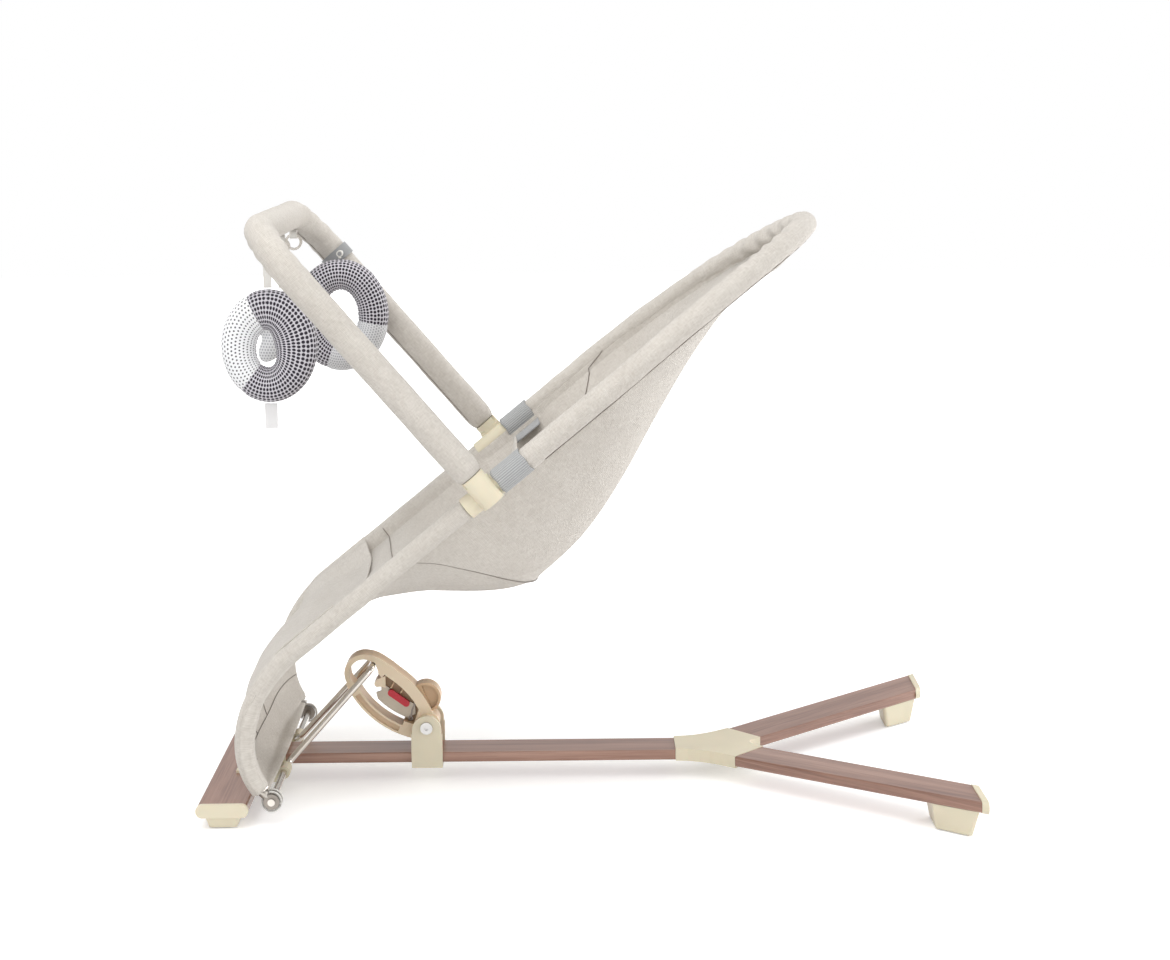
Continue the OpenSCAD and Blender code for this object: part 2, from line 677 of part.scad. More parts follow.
web_near = 0;
rib_t = 1.5;
module lever_frame() {
    half = lever_width / 2;
    color([0.80, 0.73, 0.62]) translate(bolt) difference() {
        union() {
            y_plate(-half, half) difference() {
                lever_outline();
                lever_window();
                lever_recess();
            }
            y_plate(thumb_near, half) difference() {
                translate(thumb_centre) circle(thumb_r, $fn = 64);
                lever_recess();
                circle(hub_r - 1, $fn = 64);
            }
            y_plate(web_near, web_near + lever_web) difference() {
                lever_recess();
                lever_window();
            }
            y_plate(-half + 5, web_near + 0.1) difference() {
                for (at = [[-35.5, 44], [-25, 38.5]]) translate(at) rotate(60)
                    square([13, rib_t], center = true);
                slider_outline(1.2);
                plate_outline();
            }
            y_cylinder(hub_r - 2, -ear_in + 0.4, ear_in - 0.4);
        }
        y_cylinder(bolt_r + fit, -base_length, base_length);
        y_plate(thumb_near - 1, thumb_near + 4) intersection() {
            translate(thumb_centre) circle(thumb_r - 2.6, $fn = 64);
            polygon([[-16, 47], [-6, 40], [4, 14], [30, 8], [20, 60]]);
        }
        y_plate(-half - 1, -half + 3)
            polygon(concat(
                arc(arm_centre, arm_outer_r - 2.2, 212, 246, 12),
                arc(arm_centre, arm_inner_r + 2.2, 246, 212, 12)));
    }
}

// Notched steel plate: its tooth holds the cross bar, its lower edge follows the crescent
module plate_outline() {
    difference() {
        polygon(concat(
            [[-47, 40.2], [-49.4, 38.5], [-49.4, 34.5], [-57, 32], [-54, 26]],
            arc(arm_centre, plate_edge_r - seat_gap, 223, 249, 8),
            [[-13, 8.5], [-13.5, 18.6], [-44, 39.8]]));
        bar_way(bar_clear);
        lever_hook();
        slider_slot();
    }
}
slider_angle = -36;
slider_at = [-30.5, 27.3];
slider_travel = 5;
slider_half = 3.6;
module slider_outline(grow = 0) {
    translate(slider_at) rotate(slider_angle) {
        square([slider_length - 2 * slider_half, 2 * (slider_half + grow)], center = true);
        for (x = [-1, 1]) translate([x * (slider_length / 2 - slider_half), 0])
            circle(slider_half + grow, $fn = 32);
    }
}
module slider_slot() {
    translate(slider_at) rotate(slider_angle) translate([slider_travel / 2, 0])
        round_rect(12 + slider_travel, 4.4, 2.15);
}
plate_near = web_near - seat_gap - plate_thickness;
module notch_plate() {
    color([0.56, 0.52, 0.48]) translate(bolt)
        y_plate(plate_near, plate_near + plate_thickness) plate_outline();
}
module lock_slider() {
    color([0.72, 0.12, 0.18]) translate(bolt) {
        y_plate(plate_near - seat_gap - 5.5, plate_near - seat_gap) slider_outline();
        y_plate(plate_near - seat_gap - 1, plate_near + plate_thickness - 0.5)
            translate(slider_at) rotate(slider_angle) round_rect(11, 3.8, 1.85);
    }
}

// Wire clip between the lever and the plate: a bent wire with an eye at its lower end
module wire_leg(from, to, r) {
    reach = to - from;
    translate(from) rotate(atan2(reach[1], reach[0])) {
        translate([0, -r]) square([norm(reach), 2 * r]);
    }
}
wire_r = 0.9;
wire_eye_r = 2.6;
wire_tip_r = 1.4;
wire_eye_hole = 1.2;
wire_points = [[-13.9, 19.6], [-16.6, 13.4], [-18.3, 4.2]];
module lever_spring() {
    y = plate_near - seat_gap - wire_r;
    color([0.2, 0.18, 0.16]) translate(bolt) y_plate(y - wire_r, y + wire_r) difference() {
        union() {
            wire_leg(wire_points[0], wire_points[1], wire_r);
            wire_leg(wire_points[1], wire_points[2], wire_r);
            translate(wire_points[1]) circle(wire_r + 0.2, $fn = 24);
            translate(wire_points[0]) circle(wire_tip_r, $fn = 24);
            translate(wire_points[2]) circle(wire_eye_r, $fn = 24);
        }
        translate(wire_points[2]) circle(wire_eye_hole, $fn = 24);
    }
}

// ---------- Seat frame ----------

module lower_rail(side) {
    top = [for (s = [socket_start + 24]) seat(s, rail_half, 0)];
    path = concat(j_path(14), top);
    color(nickel) mirror([0, side > 0 ? 0 : 1, 0])
        pipe(path, rail_r, rail_r - tube_wall, [0, 1, 0]);
}
module lower_rail_left() { lower_rail(1); }
module lower_rail_right() { lower_rail(-1); }

module head_bow() {
    half = concat([seat(socket_start + 34, rail_half, 0)], bow_half(13));
    path = concat(half, [for (i = [len(half) - 2:-1:0]) flip_y(half[i])]);
    color(nickel) pipe(path, rail_r, rail_r - tube_wall, seat(0, 0, 1) - seat(0, 0, 0));
}

// Fitting at the foot of a rail, with the bore that turns on the rod's tip
stub_depth = 3.5;
stub_slack = 1.4;
module rail_end(side) {
    toe = j_point(toe_cut);
    rise = toe[2] - pivot[2];
    run = pivot[0] - toe[0];
    pitch = atan2(rise, run);
    color(cream) mirror([0, side > 0 ? 0 : 1, 0]) difference() {
        union() {
            translate([pivot[0], 0, pivot[2]]) y_cylinder(rail_r, toe_half - 7, toe_half + 7);
            translate([pivot[0], toe[1], pivot[2]]) rotate([0, pitch - 90, 0])
                cylinder(r = rail_r - tube_wall - stub_slack, h = norm([run, rise]) + stub_depth, $fn = 48);
        }
        translate([pivot[0], 0, pivot[2]]) y_cylinder(journal_r + fit, toe_half - 20, toe_half + 30);
    }
}
module rail_end_left() { rail_end(1); }
module rail_end_right() { rail_end(-1); }

// Socket: a saddle round the rail with a cup for the toy bar's plug
cup_r = plug_r + 3.6;
module arm_frame(side) {
    rail_frame(arm_station, side, arm_half) rotate([0, -arm_lean, 0]) children();
}
module socket(side) {
    color(cream) difference() {
        union() {
            rail_frame(socket_start, side) rotate([0, 90, 0]) cylinder(r = socket_r, h = socket_length, $fn = 48);
            intersection() {
                union() {
                    arm_frame(side) translate([0, 0, -socket_r]) cylinder(r = cup_r, h = arm_foot + socket_r, $fn = 48);
                    rail_frame(arm_station, side, mix(rail_half, arm_half, 0.5))
                        translate([-cup_r, -(arm_half - rail_half) / 2, -2])
                        cube([2 * cup_r, arm_half - rail_half, arm_foot - 6]);
                }
                rail_frame(arm_station, side) translate([-40, -40, -socket_r]) cube([80, 80, 80]);
            }
        }
        rail_frame(socket_start - 1, side) rotate([0, 90, 0])
            cylinder(r = rail_r + snug, h = socket_length + 2, $fn = 48);
        arm_frame(side) cylinder(r = plug_r + snug, h = 60, $fn = 48);
        for (turn = [-1, 1]) arm_frame(side) rotate([0, 0, 90 * side]) translate([turn * 6 - 2, -cup_r - 8, arm_foot - 6])
            cube([4, 12, 10]);
    }
}
module socket_left() { socket(1); }
module socket_right() { socket(-1); }

// ---------- Cover ----------

module lower_sleeve(side) {
    path = concat([for (p = j_path(14)) p], [seat(socket_start - seat_gap, rail_half, 0)]);
    color(linen) mirror([0, side > 0 ? 0 : 1, 0])
        pipe(path, lower_sleeve_r, rail_r + seat_gap, [0, 1, 0]);
}
module lower_sleeve_left() { lower_sleeve(1); }
module lower_sleeve_right() { lower_sleeve(-1); }

module bow_sleeve() {
    half = concat([seat(socket_end + seat_gap, rail_half, 0)], bow_half(13));
    path = concat(half, [for (i = [len(half) - 2:-1:0]) flip_y(half[i])]);
    color(linen) pipe(path, bow_sleeve_r, rail_r + seat_gap, seat(0, 0, 1) - seat(0, 0, 0));
}

// Depth of the hammock at s: deepest a third of the way up, shallow at the knees and the head
hammock_start = 52;
deep_at = 222;
hammock_end = bow_reach - 30;
function hang_r(s) = s < arm_station - 20 ? lower_sleeve_r + seat_gap
    : s < strap_start + strap_width + 8 ? strap_r + seat_gap : bow_sleeve_r + seat_gap;
function hammock_depth_at(s) = max(hang_r(s) + cloth + 1, hammock_depth * (
    s < deep_at
        ? 0.08 + 0.92 * pow(sin(90 * (s - hammock_start) / (deep_at - hammock_start)), 2)
        : 0.06 + 0.94 * pow(cos(90 * (s - deep_at) / (bow_reach - deep_at)), 2.4)));
function sag(v) = 1 - pow(abs(v), 2.8);
hammock_stations = [0, 0.05, 0.12, 0.2, 0.27, 0.34, 0.42, 0.5, 0.58, 0.66, 0.74, 0.82, 0.89, 0.95, 1];
hammock_across = [for (v = [-1, -0.9, -0.76, -0.6, -0.4, -0.2, 0, 0.2, 0.4, 0.6, 0.76, 0.9, 1]) v];
function hammock_row(s, inward) = [for (v = hammock_across)
    seat(s, v * (rail_y(s) - 3 - 2.5 * inward),
         dip(s) - hang_r(s) - (hammock_depth_at(s) - hang_r(s) - cloth) * sag(v) - (1 - inward) * cloth)];
module hammock() {
    rows = [for (f = hammock_stations) mix(hammock_start, hammock_end, f)];
    color(linen) sheet([for (s = rows) hammock_row(s, 1)], [for (s = rows) hammock_row(s, 0)]);
}

// Foot panel: the cover between the rails, down round the J bend to the spring rod
panel_across = [-1, -0.6, -0.2, 0.2, 0.6, 1];
panel_hem = 0.1;
function panel_path() = concat(
    [for (i = [0:8]) j_point(mix(panel_hem, 0.94, i / 8))],
    [for (f = [0.25, 0.5, 0.75, 1]) seat(f * (hammock_start - seat_gap - 0.5), rail_half,
        -(hang_r(0) + cloth / 2) * pow(sin(90 * f), 2))]);
function panel_row(p, normal, offset) = [for (v = panel_across)
    [p[0], v * (p[1] - lower_sleeve_r - seat_gap), p[2]] + offset * normal];
module foot_panel() {
    path = panel_path();
    last = len(path) - 1;
    flat = [for (p = path) [p[0], 0, p[2]]];
    normals = [for (i = [0:last]) cross(tangent(flat, i), [0, 1, 0])];
    color(linen) sheet(
        [for (i = [0:last]) panel_row(path[i], normals[i], cloth / 2)],
        [for (i = [0:last]) panel_row(path[i], normals[i], -cloth / 2)]);
}

// Restraint panel: from between the legs up to the two straps
restraint_low = 150;
restraint_high = strap_start + 6;
function restraint_row(s, t, lift) =
    let (waist = 0.4 * rail_half,
         half = t < 0.5 ? mix(0.28 * rail_half, waist, t / 0.5)
             : mix(waist, 0.87 * rail_half, pow((t - 0.5) / 0.5, 1.6)))
    [for (v = [-1, -0.6, -0.2, 0.2, 0.6, 1])
        seat(s, v * half, mix(-hammock_depth_at(s) + cloth + 14, -9, pow(t, 0.8)) - 8 * sin(180 * t)
             + lift - 7 * (1 - v * v) * t)];
module restraint_panel() {
    steps = [0, 0.15, 0.3, 0.45, 0.6, 0.75, 0.88, 1];
    color(linen) sheet(
        [for (t = steps) restraint_row(mix(restraint_low, restraint_high, t), t, cloth)],
        [for (t = steps) restraint_row(mix(restraint_low, restraint_high, t), t, 0)]);
}

// Webbing strap: a band round the rail at the socket and a tail that holds the restraint panel
module strap(side) {
    inner = bow_sleeve_r + seat_gap + 0.2;
    color(webbing) rail_frame(strap_start, side) difference() {
        union() {
            rotate([0, 90, 0]) cylinder(r = strap_r, h = strap_width, $fn = 48);
            translate([0, side > 0 ? -inner - 14 : inner - 4, -inner + 2])
                cube([strap_width, 18, strap_t]);
        }
        translate([-1, 0, 0]) rotate([0, 90, 0]) cylinder(r = inner, h = strap_width + 2, $fn = 48);
    }
}
module strap_left() { strap(1); }
module strap_right() { strap(-1); }

// ---------- Toy bar ----------

// Centre line of the toy bar in its own plane: x up the arm, y across
arm_dir_angle = 90 + seat_angle + arm_lean;
arm_dir = [cos(arm_dir_angle), 0, sin(arm_dir_angle)];
arm_base = seat(arm_station, 0, 0);
function on_arm(up, y) = arm_base + up * arm_dir + [0, y, 0];
arm_top = arm_foot + arm_length;
function corner_points(steps) = [for (i = [0:steps]) let (a = 90 * i / steps)
    on_arm(arm_top - arm_corner + arm_corner * sin(a), arm_half - arm_corner * (1 - cos(a)))];
function bar_path(start) =
    let (half = concat([on_arm(start, arm_half)], corner_points(7)))
    concat(half, [for (i = [len(half) - 1:-1:0]) flip_y(half[i])]);
bar_normal = cross(arm_dir, [0, 1, 0]);

module toy_bar_tube() {
    color(nickel) pipe(bar_path(arm_foot + 1), arm_r, arm_r - tube_wall, bar_normal);
}
module toy_bar_sleeve() {
    color(linen) pipe(bar_path(arm_foot + 0.4), arm_sleeve_r, arm_r + seat_gap, bar_normal, 14);
}
plug_depth = 12;
module toy_bar_plugs() {
    color(cream) for (side = [-1, 1]) arm_frame(side) {
        translate([0, 0, arm_foot - plug_depth]) cylinder(r = plug_r, h = plug_depth + 20, $fn = 48);
    }
}

// Metal rings below the cross piece, each held by a small cloth tab
cross_at = on_arm(arm_top, 0);
ring_wire = 1.4;
hang_ring_r = 8;
tab_width = 8;
tab_t = 1.2;
tab_r = ring_wire + 1.9 + tab_t;
hang_drop = hang_ring_r + tab_r;
spare_ring_y = arm_half - arm_corner + 12;
function corner_drop(y) = let (past = max(0, abs(y) + tab_r - arm_half + arm_corner))
    arm_corner - sqrt(arm_corner * arm_corner - past * past);
function ring_centre(y) = [cross_at[0], y, cross_at[2] - arm_sleeve_r - hang_drop - corner_drop(y)];
ring_places = [near_ring_y, star_y, spare_ring_y];
module toy_rings() {
    color(nickel) for (y = ring_places) translate(ring_centre(y)) difference() {
        y_cylinder(hang_ring_r + ring_wire, -ring_wire, ring_wire, 48);
        y_cylinder(hang_ring_r - ring_wire, -ring_wire - 1, ring_wire + 1, 48);
    }
}
// Cloth folded round a ring's wire, with a tail up or down to what it joins
module folded_tab(at, tail) {
    translate(at) rotate([0, 90, 0]) translate([0, 0, -tab_width / 2]) difference() {
        union() {
            cylinder(r = tab_r, h = tab_width, $fn = 32);
            translate([min(0, -tail), -tab_t, 0]) cube([abs(tail), 2 * tab_t, tab_width]);
        }
        translate([0, 0, -1]) cylinder(r = tab_r - tab_t, h = tab_width + 2, $fn = 32);
    }
}
tab_gap = 0.5;
corner_share = 0.36;
module ring_tabs() {
    color(linen) for (y = ring_places)
        folded_tab(ring_centre(y) + [0, 0, hang_ring_r], tab_r - tab_gap + corner_share * corner_drop(y));
}

// Loop round the far arm, with a short cloth roll that the far ring hangs on
arm_side = cross([0, 1, 0], arm_dir);
far_hang = arm_foot + far_loop;
far_ring_y = arm_half - arm_sleeve_r - ring_tube / 2 - 4;
far_roll = on_arm(far_hang, 0) + 8.5 * arm_side;
roll_r = 2;
loop_width = 14;
loop_t = 1.6;
module far_arm_loop() {
    inner = arm_sleeve_r + seat_gap;
    color(webbing) difference() {
        union() {
            translate(on_arm(far_hang - loop_width / 2, arm_half)) rotate([0, 90 - arm_dir_angle, 0])
                cylinder(r = inner + loop_t, h = loop_width, $fn = 48);
            translate([far_roll[0], 0, far_roll[2]]) y_cylinder(roll_r, far_ring_y - 6, arm_half - 8, 32);
        }
        translate(on_arm(far_hang - loop_width, arm_half)) rotate([0, 90 - arm_dir_angle, 0])
            cylinder(r = inner, h = 2 * loop_width, $fn = 48);
    }
}

// ---------- Toys ----------

// Plush ring that stands in the X and Z plane
module plush_ring(c, w, h, tube) {
    sides = 12;
    turns = 24;
    points = [for (i = [0:turns - 1]) let (a = 360 * i / turns) for (k = [0:sides - 1])
        let (b = 360 * k / sides, r = tube / 2)
        c + [(w / 2 - r + r * cos(b)) * sin(a), r * 0.92 * sin(b), (h / 2 - r + r * cos(b)) * cos(a)]];
    polyhedron(points, [for (i = [0:turns - 1], k = [0:sides - 1])
        let (n = (i + 1) % turns, m = (k + 1) % sides)
        [i * sides + k, i * sides + m, n * sides + m, n * sides + k]], convexity = 6);
}
module toy_strap(y, top_of_toy) {
    at = ring_centre(y) - [0, 0, hang_ring_r];
    color([0.95, 0.95, 0.94]) folded_tab(at, top_of_toy - at[2]);
}

near_ring_centre = [cross_at[0], near_ring_y, cross_at[2] - ring_drop];
module near_ring_toy() {
    color([0.45, 0.43, 0.45]) plush_ring(near_ring_centre, ring_width, ring_height, ring_tube);
}
module near_ring_strap() { toy_strap(near_ring_y, near_ring_centre[2] + ring_height / 2 + 0.2); }

// Tag below the near ring
tag = [13, 1, 26];
module near_ring_tag() {
    color([0.93, 0.92, 0.91]) translate(near_ring_centre - [tag[0] / 2, tag[1] / 2, ring_height / 2 + tag[2]])
        cube(tag);
}

module star_outline() {
    polygon([for (i = [0:9]) let (r = i % 2 == 0 ? star_radius : star_radius * 0.56, a = 90 + 36 * i)
        r * [cos(a), sin(a)]]);
}
star_centre = [cross_at[0], star_y, cross_at[2] - star_drop];
module star_toy() {
    color([0.55, 0.55, 0.57]) translate(star_centre) rotate([90, 0, 0]) {
        linear_extrude(star_thickness / 2, scale = 0.7) star_outline();
        mirror([0, 0, 1]) linear_extrude(star_thickness / 2, scale = 0.7) star_outline();
    }
}
module star_strap() { toy_strap(star_y, star_centre[2] + star_radius + 0.2); }

// Far ring, a little larger, on a loop round the cloth roll
far_scale = 1.08;
far_tail = 5;
far_ring_centre = [far_roll[0], far_ring_y, far_roll[2] - far_tail - far_scale * ring_height / 2];
module far_ring_toy() {
    color([0.6, 0.58, 0.6])
        plush_ring(far_ring_centre, far_scale * ring_width, far_scale * ring_height, ring_tube);
}
module far_ring_strap() {
    color([0.95, 0.95, 0.94]) translate([far_roll[0], far_ring_y, far_roll[2]]) difference() {
        union() {
            y_cylinder(roll_r + 0.4 + tab_t, -tab_width / 2, tab_width / 2, 32);
            translate([-tab_t, -tab_width / 2, -far_tail]) cube([2 * tab_t, tab_width, far_tail]);
        }
        y_cylinder(roll_r + 0.4, -tab_width, tab_width, 32);
    }
}

front_bar();
spine_bar();
rear_leg_left();
rear_leg_right();
fork_joint();
front_joint();
front_cap_left();
front_cap_right();
rear_cap_left();
rear_cap_right();
front_foot_left();
front_foot_right();
rear_foot_left();
rear_foot_right();
foot_pads();
base_screws();
lever_bracket();
lever_bolt();
spring_rod();
lever_frame();
notch_plate();
lever_spring();
lock_slider();
lower_rail_left();
lower_rail_right();
head_bow();
socket_left();
socket_right();
rail_end_left();
rail_end_right();
lower_sleeve_left();
lower_sleeve_right();
bow_sleeve();
hammock();
foot_panel();
restraint_panel();
strap_left();
strap_right();
toy_bar_tube();
toy_bar_sleeve();
toy_bar_plugs();
toy_rings();
ring_tabs();
far_arm_loop();
near_ring_toy();
near_ring_strap();
near_ring_tag();
star_toy();
star_strap();
far_ring_toy();
far_ring_strap();
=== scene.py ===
# %% [markdown]
# # A bouncer seat, dressed piece by piece
# The CAD frame gives every hard part its exact place. This lesson adds what CAD leaves plain:
# woven covers that hang between the rails, padded sleeves, webbing, plush toys, and a finish
# for each wood, metal and plastic part. All lengths are in metres.

# %% Load the frame
import math

import bmesh
import bpy
from mathutils import Euler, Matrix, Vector, noise


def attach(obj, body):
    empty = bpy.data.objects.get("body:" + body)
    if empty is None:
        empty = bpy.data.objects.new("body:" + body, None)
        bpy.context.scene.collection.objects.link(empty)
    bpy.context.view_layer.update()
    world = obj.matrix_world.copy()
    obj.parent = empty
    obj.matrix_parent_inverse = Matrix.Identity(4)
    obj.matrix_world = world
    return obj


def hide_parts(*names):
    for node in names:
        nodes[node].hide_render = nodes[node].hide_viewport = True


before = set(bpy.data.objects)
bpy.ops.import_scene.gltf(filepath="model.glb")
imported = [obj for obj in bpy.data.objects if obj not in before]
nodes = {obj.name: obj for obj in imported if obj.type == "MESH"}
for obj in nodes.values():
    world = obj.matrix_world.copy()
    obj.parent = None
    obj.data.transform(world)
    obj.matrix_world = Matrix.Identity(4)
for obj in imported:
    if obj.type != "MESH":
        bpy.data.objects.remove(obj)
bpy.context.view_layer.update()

# %% [markdown]
# ## The camera
# A long lens a couple of metres away, a little above the seat and tipped down. A short lens close
# by would frame the seat too, but it would draw the near rail much larger than the far one. The
# camera comes first, so that every piece is judged in the view it has to look right in.

# %% Camera
camera_data = bpy.data.cameras.new("studio_camera")
camera_data.lens = 72.34
camera_data.sensor_width = 36
camera = bpy.data.objects.new("studio_camera", camera_data)
camera.location = (-0.0150, -2.4622, 0.7301)
camera.rotation_euler = Euler([math.radians(a) for a in (80.5686, 0.4606, -0.4836)], "XYZ")
bpy.context.scene.collection.objects.link(camera)
bpy.context.scene.camera = camera
bpy.context.scene.view_settings.view_transform = "Standard"
print("camera at", [round(v, 3) for v in camera.location])

# %% [markdown]
# ## Light and floor
# The seat stands in a bright pale room. A world could be one plain colour, but then a white
# background would need too much light on the seat. So camera rays see full white, and all other
# rays get a dimmer light.

# %% World
def link(tree, a, b):
    tree.links.new(a, b)

def set_inputs(made, inputs):
    for key, value in inputs.items():
        made.inputs[key.replace("_", " ")].default_value = value

def node(tree, kind, **inputs):
    made = tree.nodes.new("ShaderNode" + kind)
    set_inputs(made, inputs)
    return made

white = (1, 1, 1, 1)
world = bpy.data.worlds.new("pale_room")
bpy.context.scene.world = world
world.use_nodes = True
wt = world.node_tree
wt.nodes.clear()
room = node(wt, "Background", Color=white, Strength=0.62)
seen = node(wt, "Background", Color=white, Strength=1.0)
rays = node(wt, "LightPath")
both = node(wt, "MixShader")
out = node(wt, "OutputWorld")
link(wt, rays.outputs["Is Camera Ray"], both.inputs["Fac"])
link(wt, room.outputs[0], both.inputs[1])
link(wt, seen.outputs[0], both.inputs[2])
link(wt, both.outputs[0], out.inputs["Surface"])
print("world:", world.name)

# %% [markdown]
# ### Lamps
# Cloth shows its folds only where light falls from one side. Small lamps would draw hard shadow
# edges, so these are large soft rectangles. One above gives each fold a light side and a dark
# side, one in front and one low on the right fill the undersides, and one low behind reaches the
# back of the foot panel.

# %% Lamps
def softbox(name, place, aim, size, power):
    lamp = bpy.data.lights.new(name, "AREA")
    lamp.shape = "RECTANGLE"
    lamp.size, lamp.size_y = size
    lamp.energy = power
    holder = bpy.data.objects.new(name, lamp)
    holder.location = place
    holder.rotation_euler = (Vector(aim) - Vector(place)).to_track_quat("-Z", "Y").to_euler()
    bpy.context.scene.collection.objects.link(holder)

softbox("top_softbox", (-0.5, -0.6, 2.3), (0, 0, 0.2), (2.4, 1.8), 34)
softbox("front_softbox", (-1.2, -2.0, 1.5), (0, 0, 0.3), (1.4, 1.2), 12)
softbox("right_softbox", (2.2, -1.5, 0.55), (-0.1, 0, 0.25), (1.6, 1.0), 15)
softbox("back_softbox", (1.6, 1.1, 0.45), (-0.33, 0, 0.12), (1.2, 0.7), 24)
print("lamps:", [lamp.name for lamp in bpy.data.lights])

# %% [markdown]
# ### Floor
# The floor is a plain pale sheet. Lit alone it would end in a grey line against the background.
# So it also glows for camera and glossy rays, faintly near the seat, where the soft shadow has to
# stay, and up to full white further away.

# %% Floor
bpy.ops.object.select_all(action="DESELECT")
bpy.ops.mesh.primitive_plane_add(size=14, location=(0, 0, 0))
floor = bpy.context.object
floor.name = "studio_floor"
paper = bpy.data.materials.new("floor_paper")
paper.use_nodes = True
ft = paper.node_tree
ft.nodes.clear()
from_seat = node(ft, "TexCoord")
far_off = node(ft, "VectorMath")
far_off.operation = "LENGTH"
fade_start, fade_end, glow_near = 0.45, 1.5, 0.34
fade = node(ft, "MapRange", From_Min=fade_start, From_Max=fade_end, To_Min=glow_near, To_Max=1.0)
glow = node(ft, "Emission")
link(ft, from_seat.outputs["Object"], far_off.inputs[0])
link(ft, far_off.outputs["Value"], fade.inputs["Value"])
link(ft, fade.outputs[0], glow.inputs["Strength"])
ray = node(ft, "LightPath")
any_seen = node(ft, "Math")
any_seen.operation = "MAXIMUM"
dark = node(ft, "Emission", Strength=0)
pick = node(ft, "MixShader")
matt = node(ft, "BsdfDiffuse", Color=(0.9, 0.9, 0.9, 1))
total = node(ft, "AddShader")
surface = node(ft, "OutputMaterial")
link(ft, ray.outputs["Is Camera Ray"], any_seen.inputs[0])
link(ft, ray.outputs["Is Glossy Ray"], any_seen.inputs[1])
link(ft, any_seen.outputs[0], pick.inputs["Fac"])
link(ft, dark.outputs[0], pick.inputs[1])
link(ft, glow.outputs[0], pick.inputs[2])
link(ft, matt.outputs[0], total.inputs[0])
link(ft, pick.outputs[0], total.inputs[1])
link(ft, total.outputs[0], surface.inputs["Surface"])
floor.data.materials.append(paper)
print("floor fades from", fade_start, "to", fade_end, "m")

# %% [markdown]
# ## Finishes
# Each finish is a small tree of procedural nodes. Hard parts read Object coordinates, which are
# metres in the frame. Cloth reads the piece's own UV map, also in metres, so the weave has the
# same scale everywhere and follows the folds. Image textures would be quicker to set up, but
# nodes stay sharp at any distance. The helpers here stand for the few steps that every tree has.

# %% Helpers for node trees
wave_repeat = 0.314  # a wave texture of scale 1 repeats every 0.314 units

def new_finish(name, roughness, **sockets):
    mat = bpy.data.materials.new(name)
    mat.use_nodes = True
    shader = mat.node_tree.nodes["Principled BSDF"]
    set_inputs(shader, {"Roughness": roughness, **sockets})
    return mat, mat.node_tree, shader

def placed(tree, source, scale=(1, 1, 1), turn=(0, 0, 0), move=(0, 0, 0)):
    """Texture coordinates, first turned and moved, then scaled along the turned axes."""
    coords = node(tree, "TexCoord")
    turned = node(tree, "Mapping", Rotation=turn, Location=move)
    stretched = node(tree, "Mapping", Scale=scale)
    link(tree, coords.outputs[source], turned.inputs["Vector"])
    link(tree, turned.outputs["Vector"], stretched.inputs["Vector"])
    return stretched.outputs["Vector"]

def ramp(tree, value, *stops):
    made = node(tree, "ValToRGB")
    band = made.color_ramp
    band.elements[0].position, band.elements[0].color = stops[0][0], (*stops[0][1], 1)
    band.elements[1].position, band.elements[1].color = stops[-1][0], (*stops[-1][1], 1)
    for place, colour in stops[1:-1]:
        band.elements.new(place).color = (*colour, 1)
    link(tree, value, made.inputs["Fac"])
    return made.outputs["Color"]

def maths(tree, kind, a, b=None):
    made = node(tree, "Math")
    made.operation = kind
    for slot, value in zip((0, 1), (a, b)):
        if value is None:
            continue
        if isinstance(value, (int, float)):
            made.inputs[slot].default_value = value
        else:
            link(tree, value, made.inputs[slot])
    return made.outputs[0]

def bumped(tree, shader, height, distance):
    made = node(tree, "Bump", Strength=1.0, Distance=distance)
    link(tree, height, made.inputs["Height"])
    link(tree, made.outputs["Normal"], shader.inputs["Normal"])

def waves(tree, direction, period, **inputs):
    made = node(tree, "TexWave", Scale=wave_repeat / period, **inputs)
    made.bands_direction = direction
    link(tree, placed(tree, "UV"), made.inputs["Vector"])
    return made.outputs["Fac"]

def noisy(tree, vector, scale, detail, roughness=0.55):
    made = node(tree, "TexNoise", Scale=scale, Detail=detail, Roughness=roughness)
    link(tree, vector, made.inputs["Vector"])
    return made.outputs["Fac"]

# %% [markdown]
# ### Woven cloth
# The cover is a pale oatmeal cloth of mixed threads. Two sets of stretched noise stand for the
# uneven warp and weft, and two fine waves raise the threads. The threads could be modelled, but
# they are far too many, and bump shows them as well at this size. One recipe serves every shade.

# %% Cloth finish
def woven(name, light, deep, period=0.0013):
    mat, tree, shader = new_finish(name, 0.86, Sheen_Weight=0.25, Sheen_Roughness=0.5,
                                   Specular_IOR_Level=0.2)
    fine, long = 900, 130  # thread marks in a metre, across a thread and along it
    along = placed(tree, "UV", (fine, long, 1))
    across = placed(tree, "UV", (long, fine, 1))
    threads = maths(tree, "ADD", noisy(tree, along, 1.0, 2), noisy(tree, across, 1.0, 2))
    patches = noisy(tree, placed(tree, "UV"), 28, 3)
    tone = maths(tree, "ADD", maths(tree, "MULTIPLY", threads, 0.42), maths(tree, "MULTIPLY", patches, 0.16))
    link(tree, ramp(tree, tone, (0.36, deep), (0.64, light)), shader.inputs["Base Color"])
    rise = [waves(tree, way, period, Distortion=0.6, Detail=1.0, Detail_Scale=3.0) for way in ("X", "Y")]
    weave = maths(tree, "ADD", maths(tree, "ADD", *rise), maths(tree, "MULTIPLY", threads, 0.8))
    bumped(tree, shader, weave, 0.00022)
    return mat

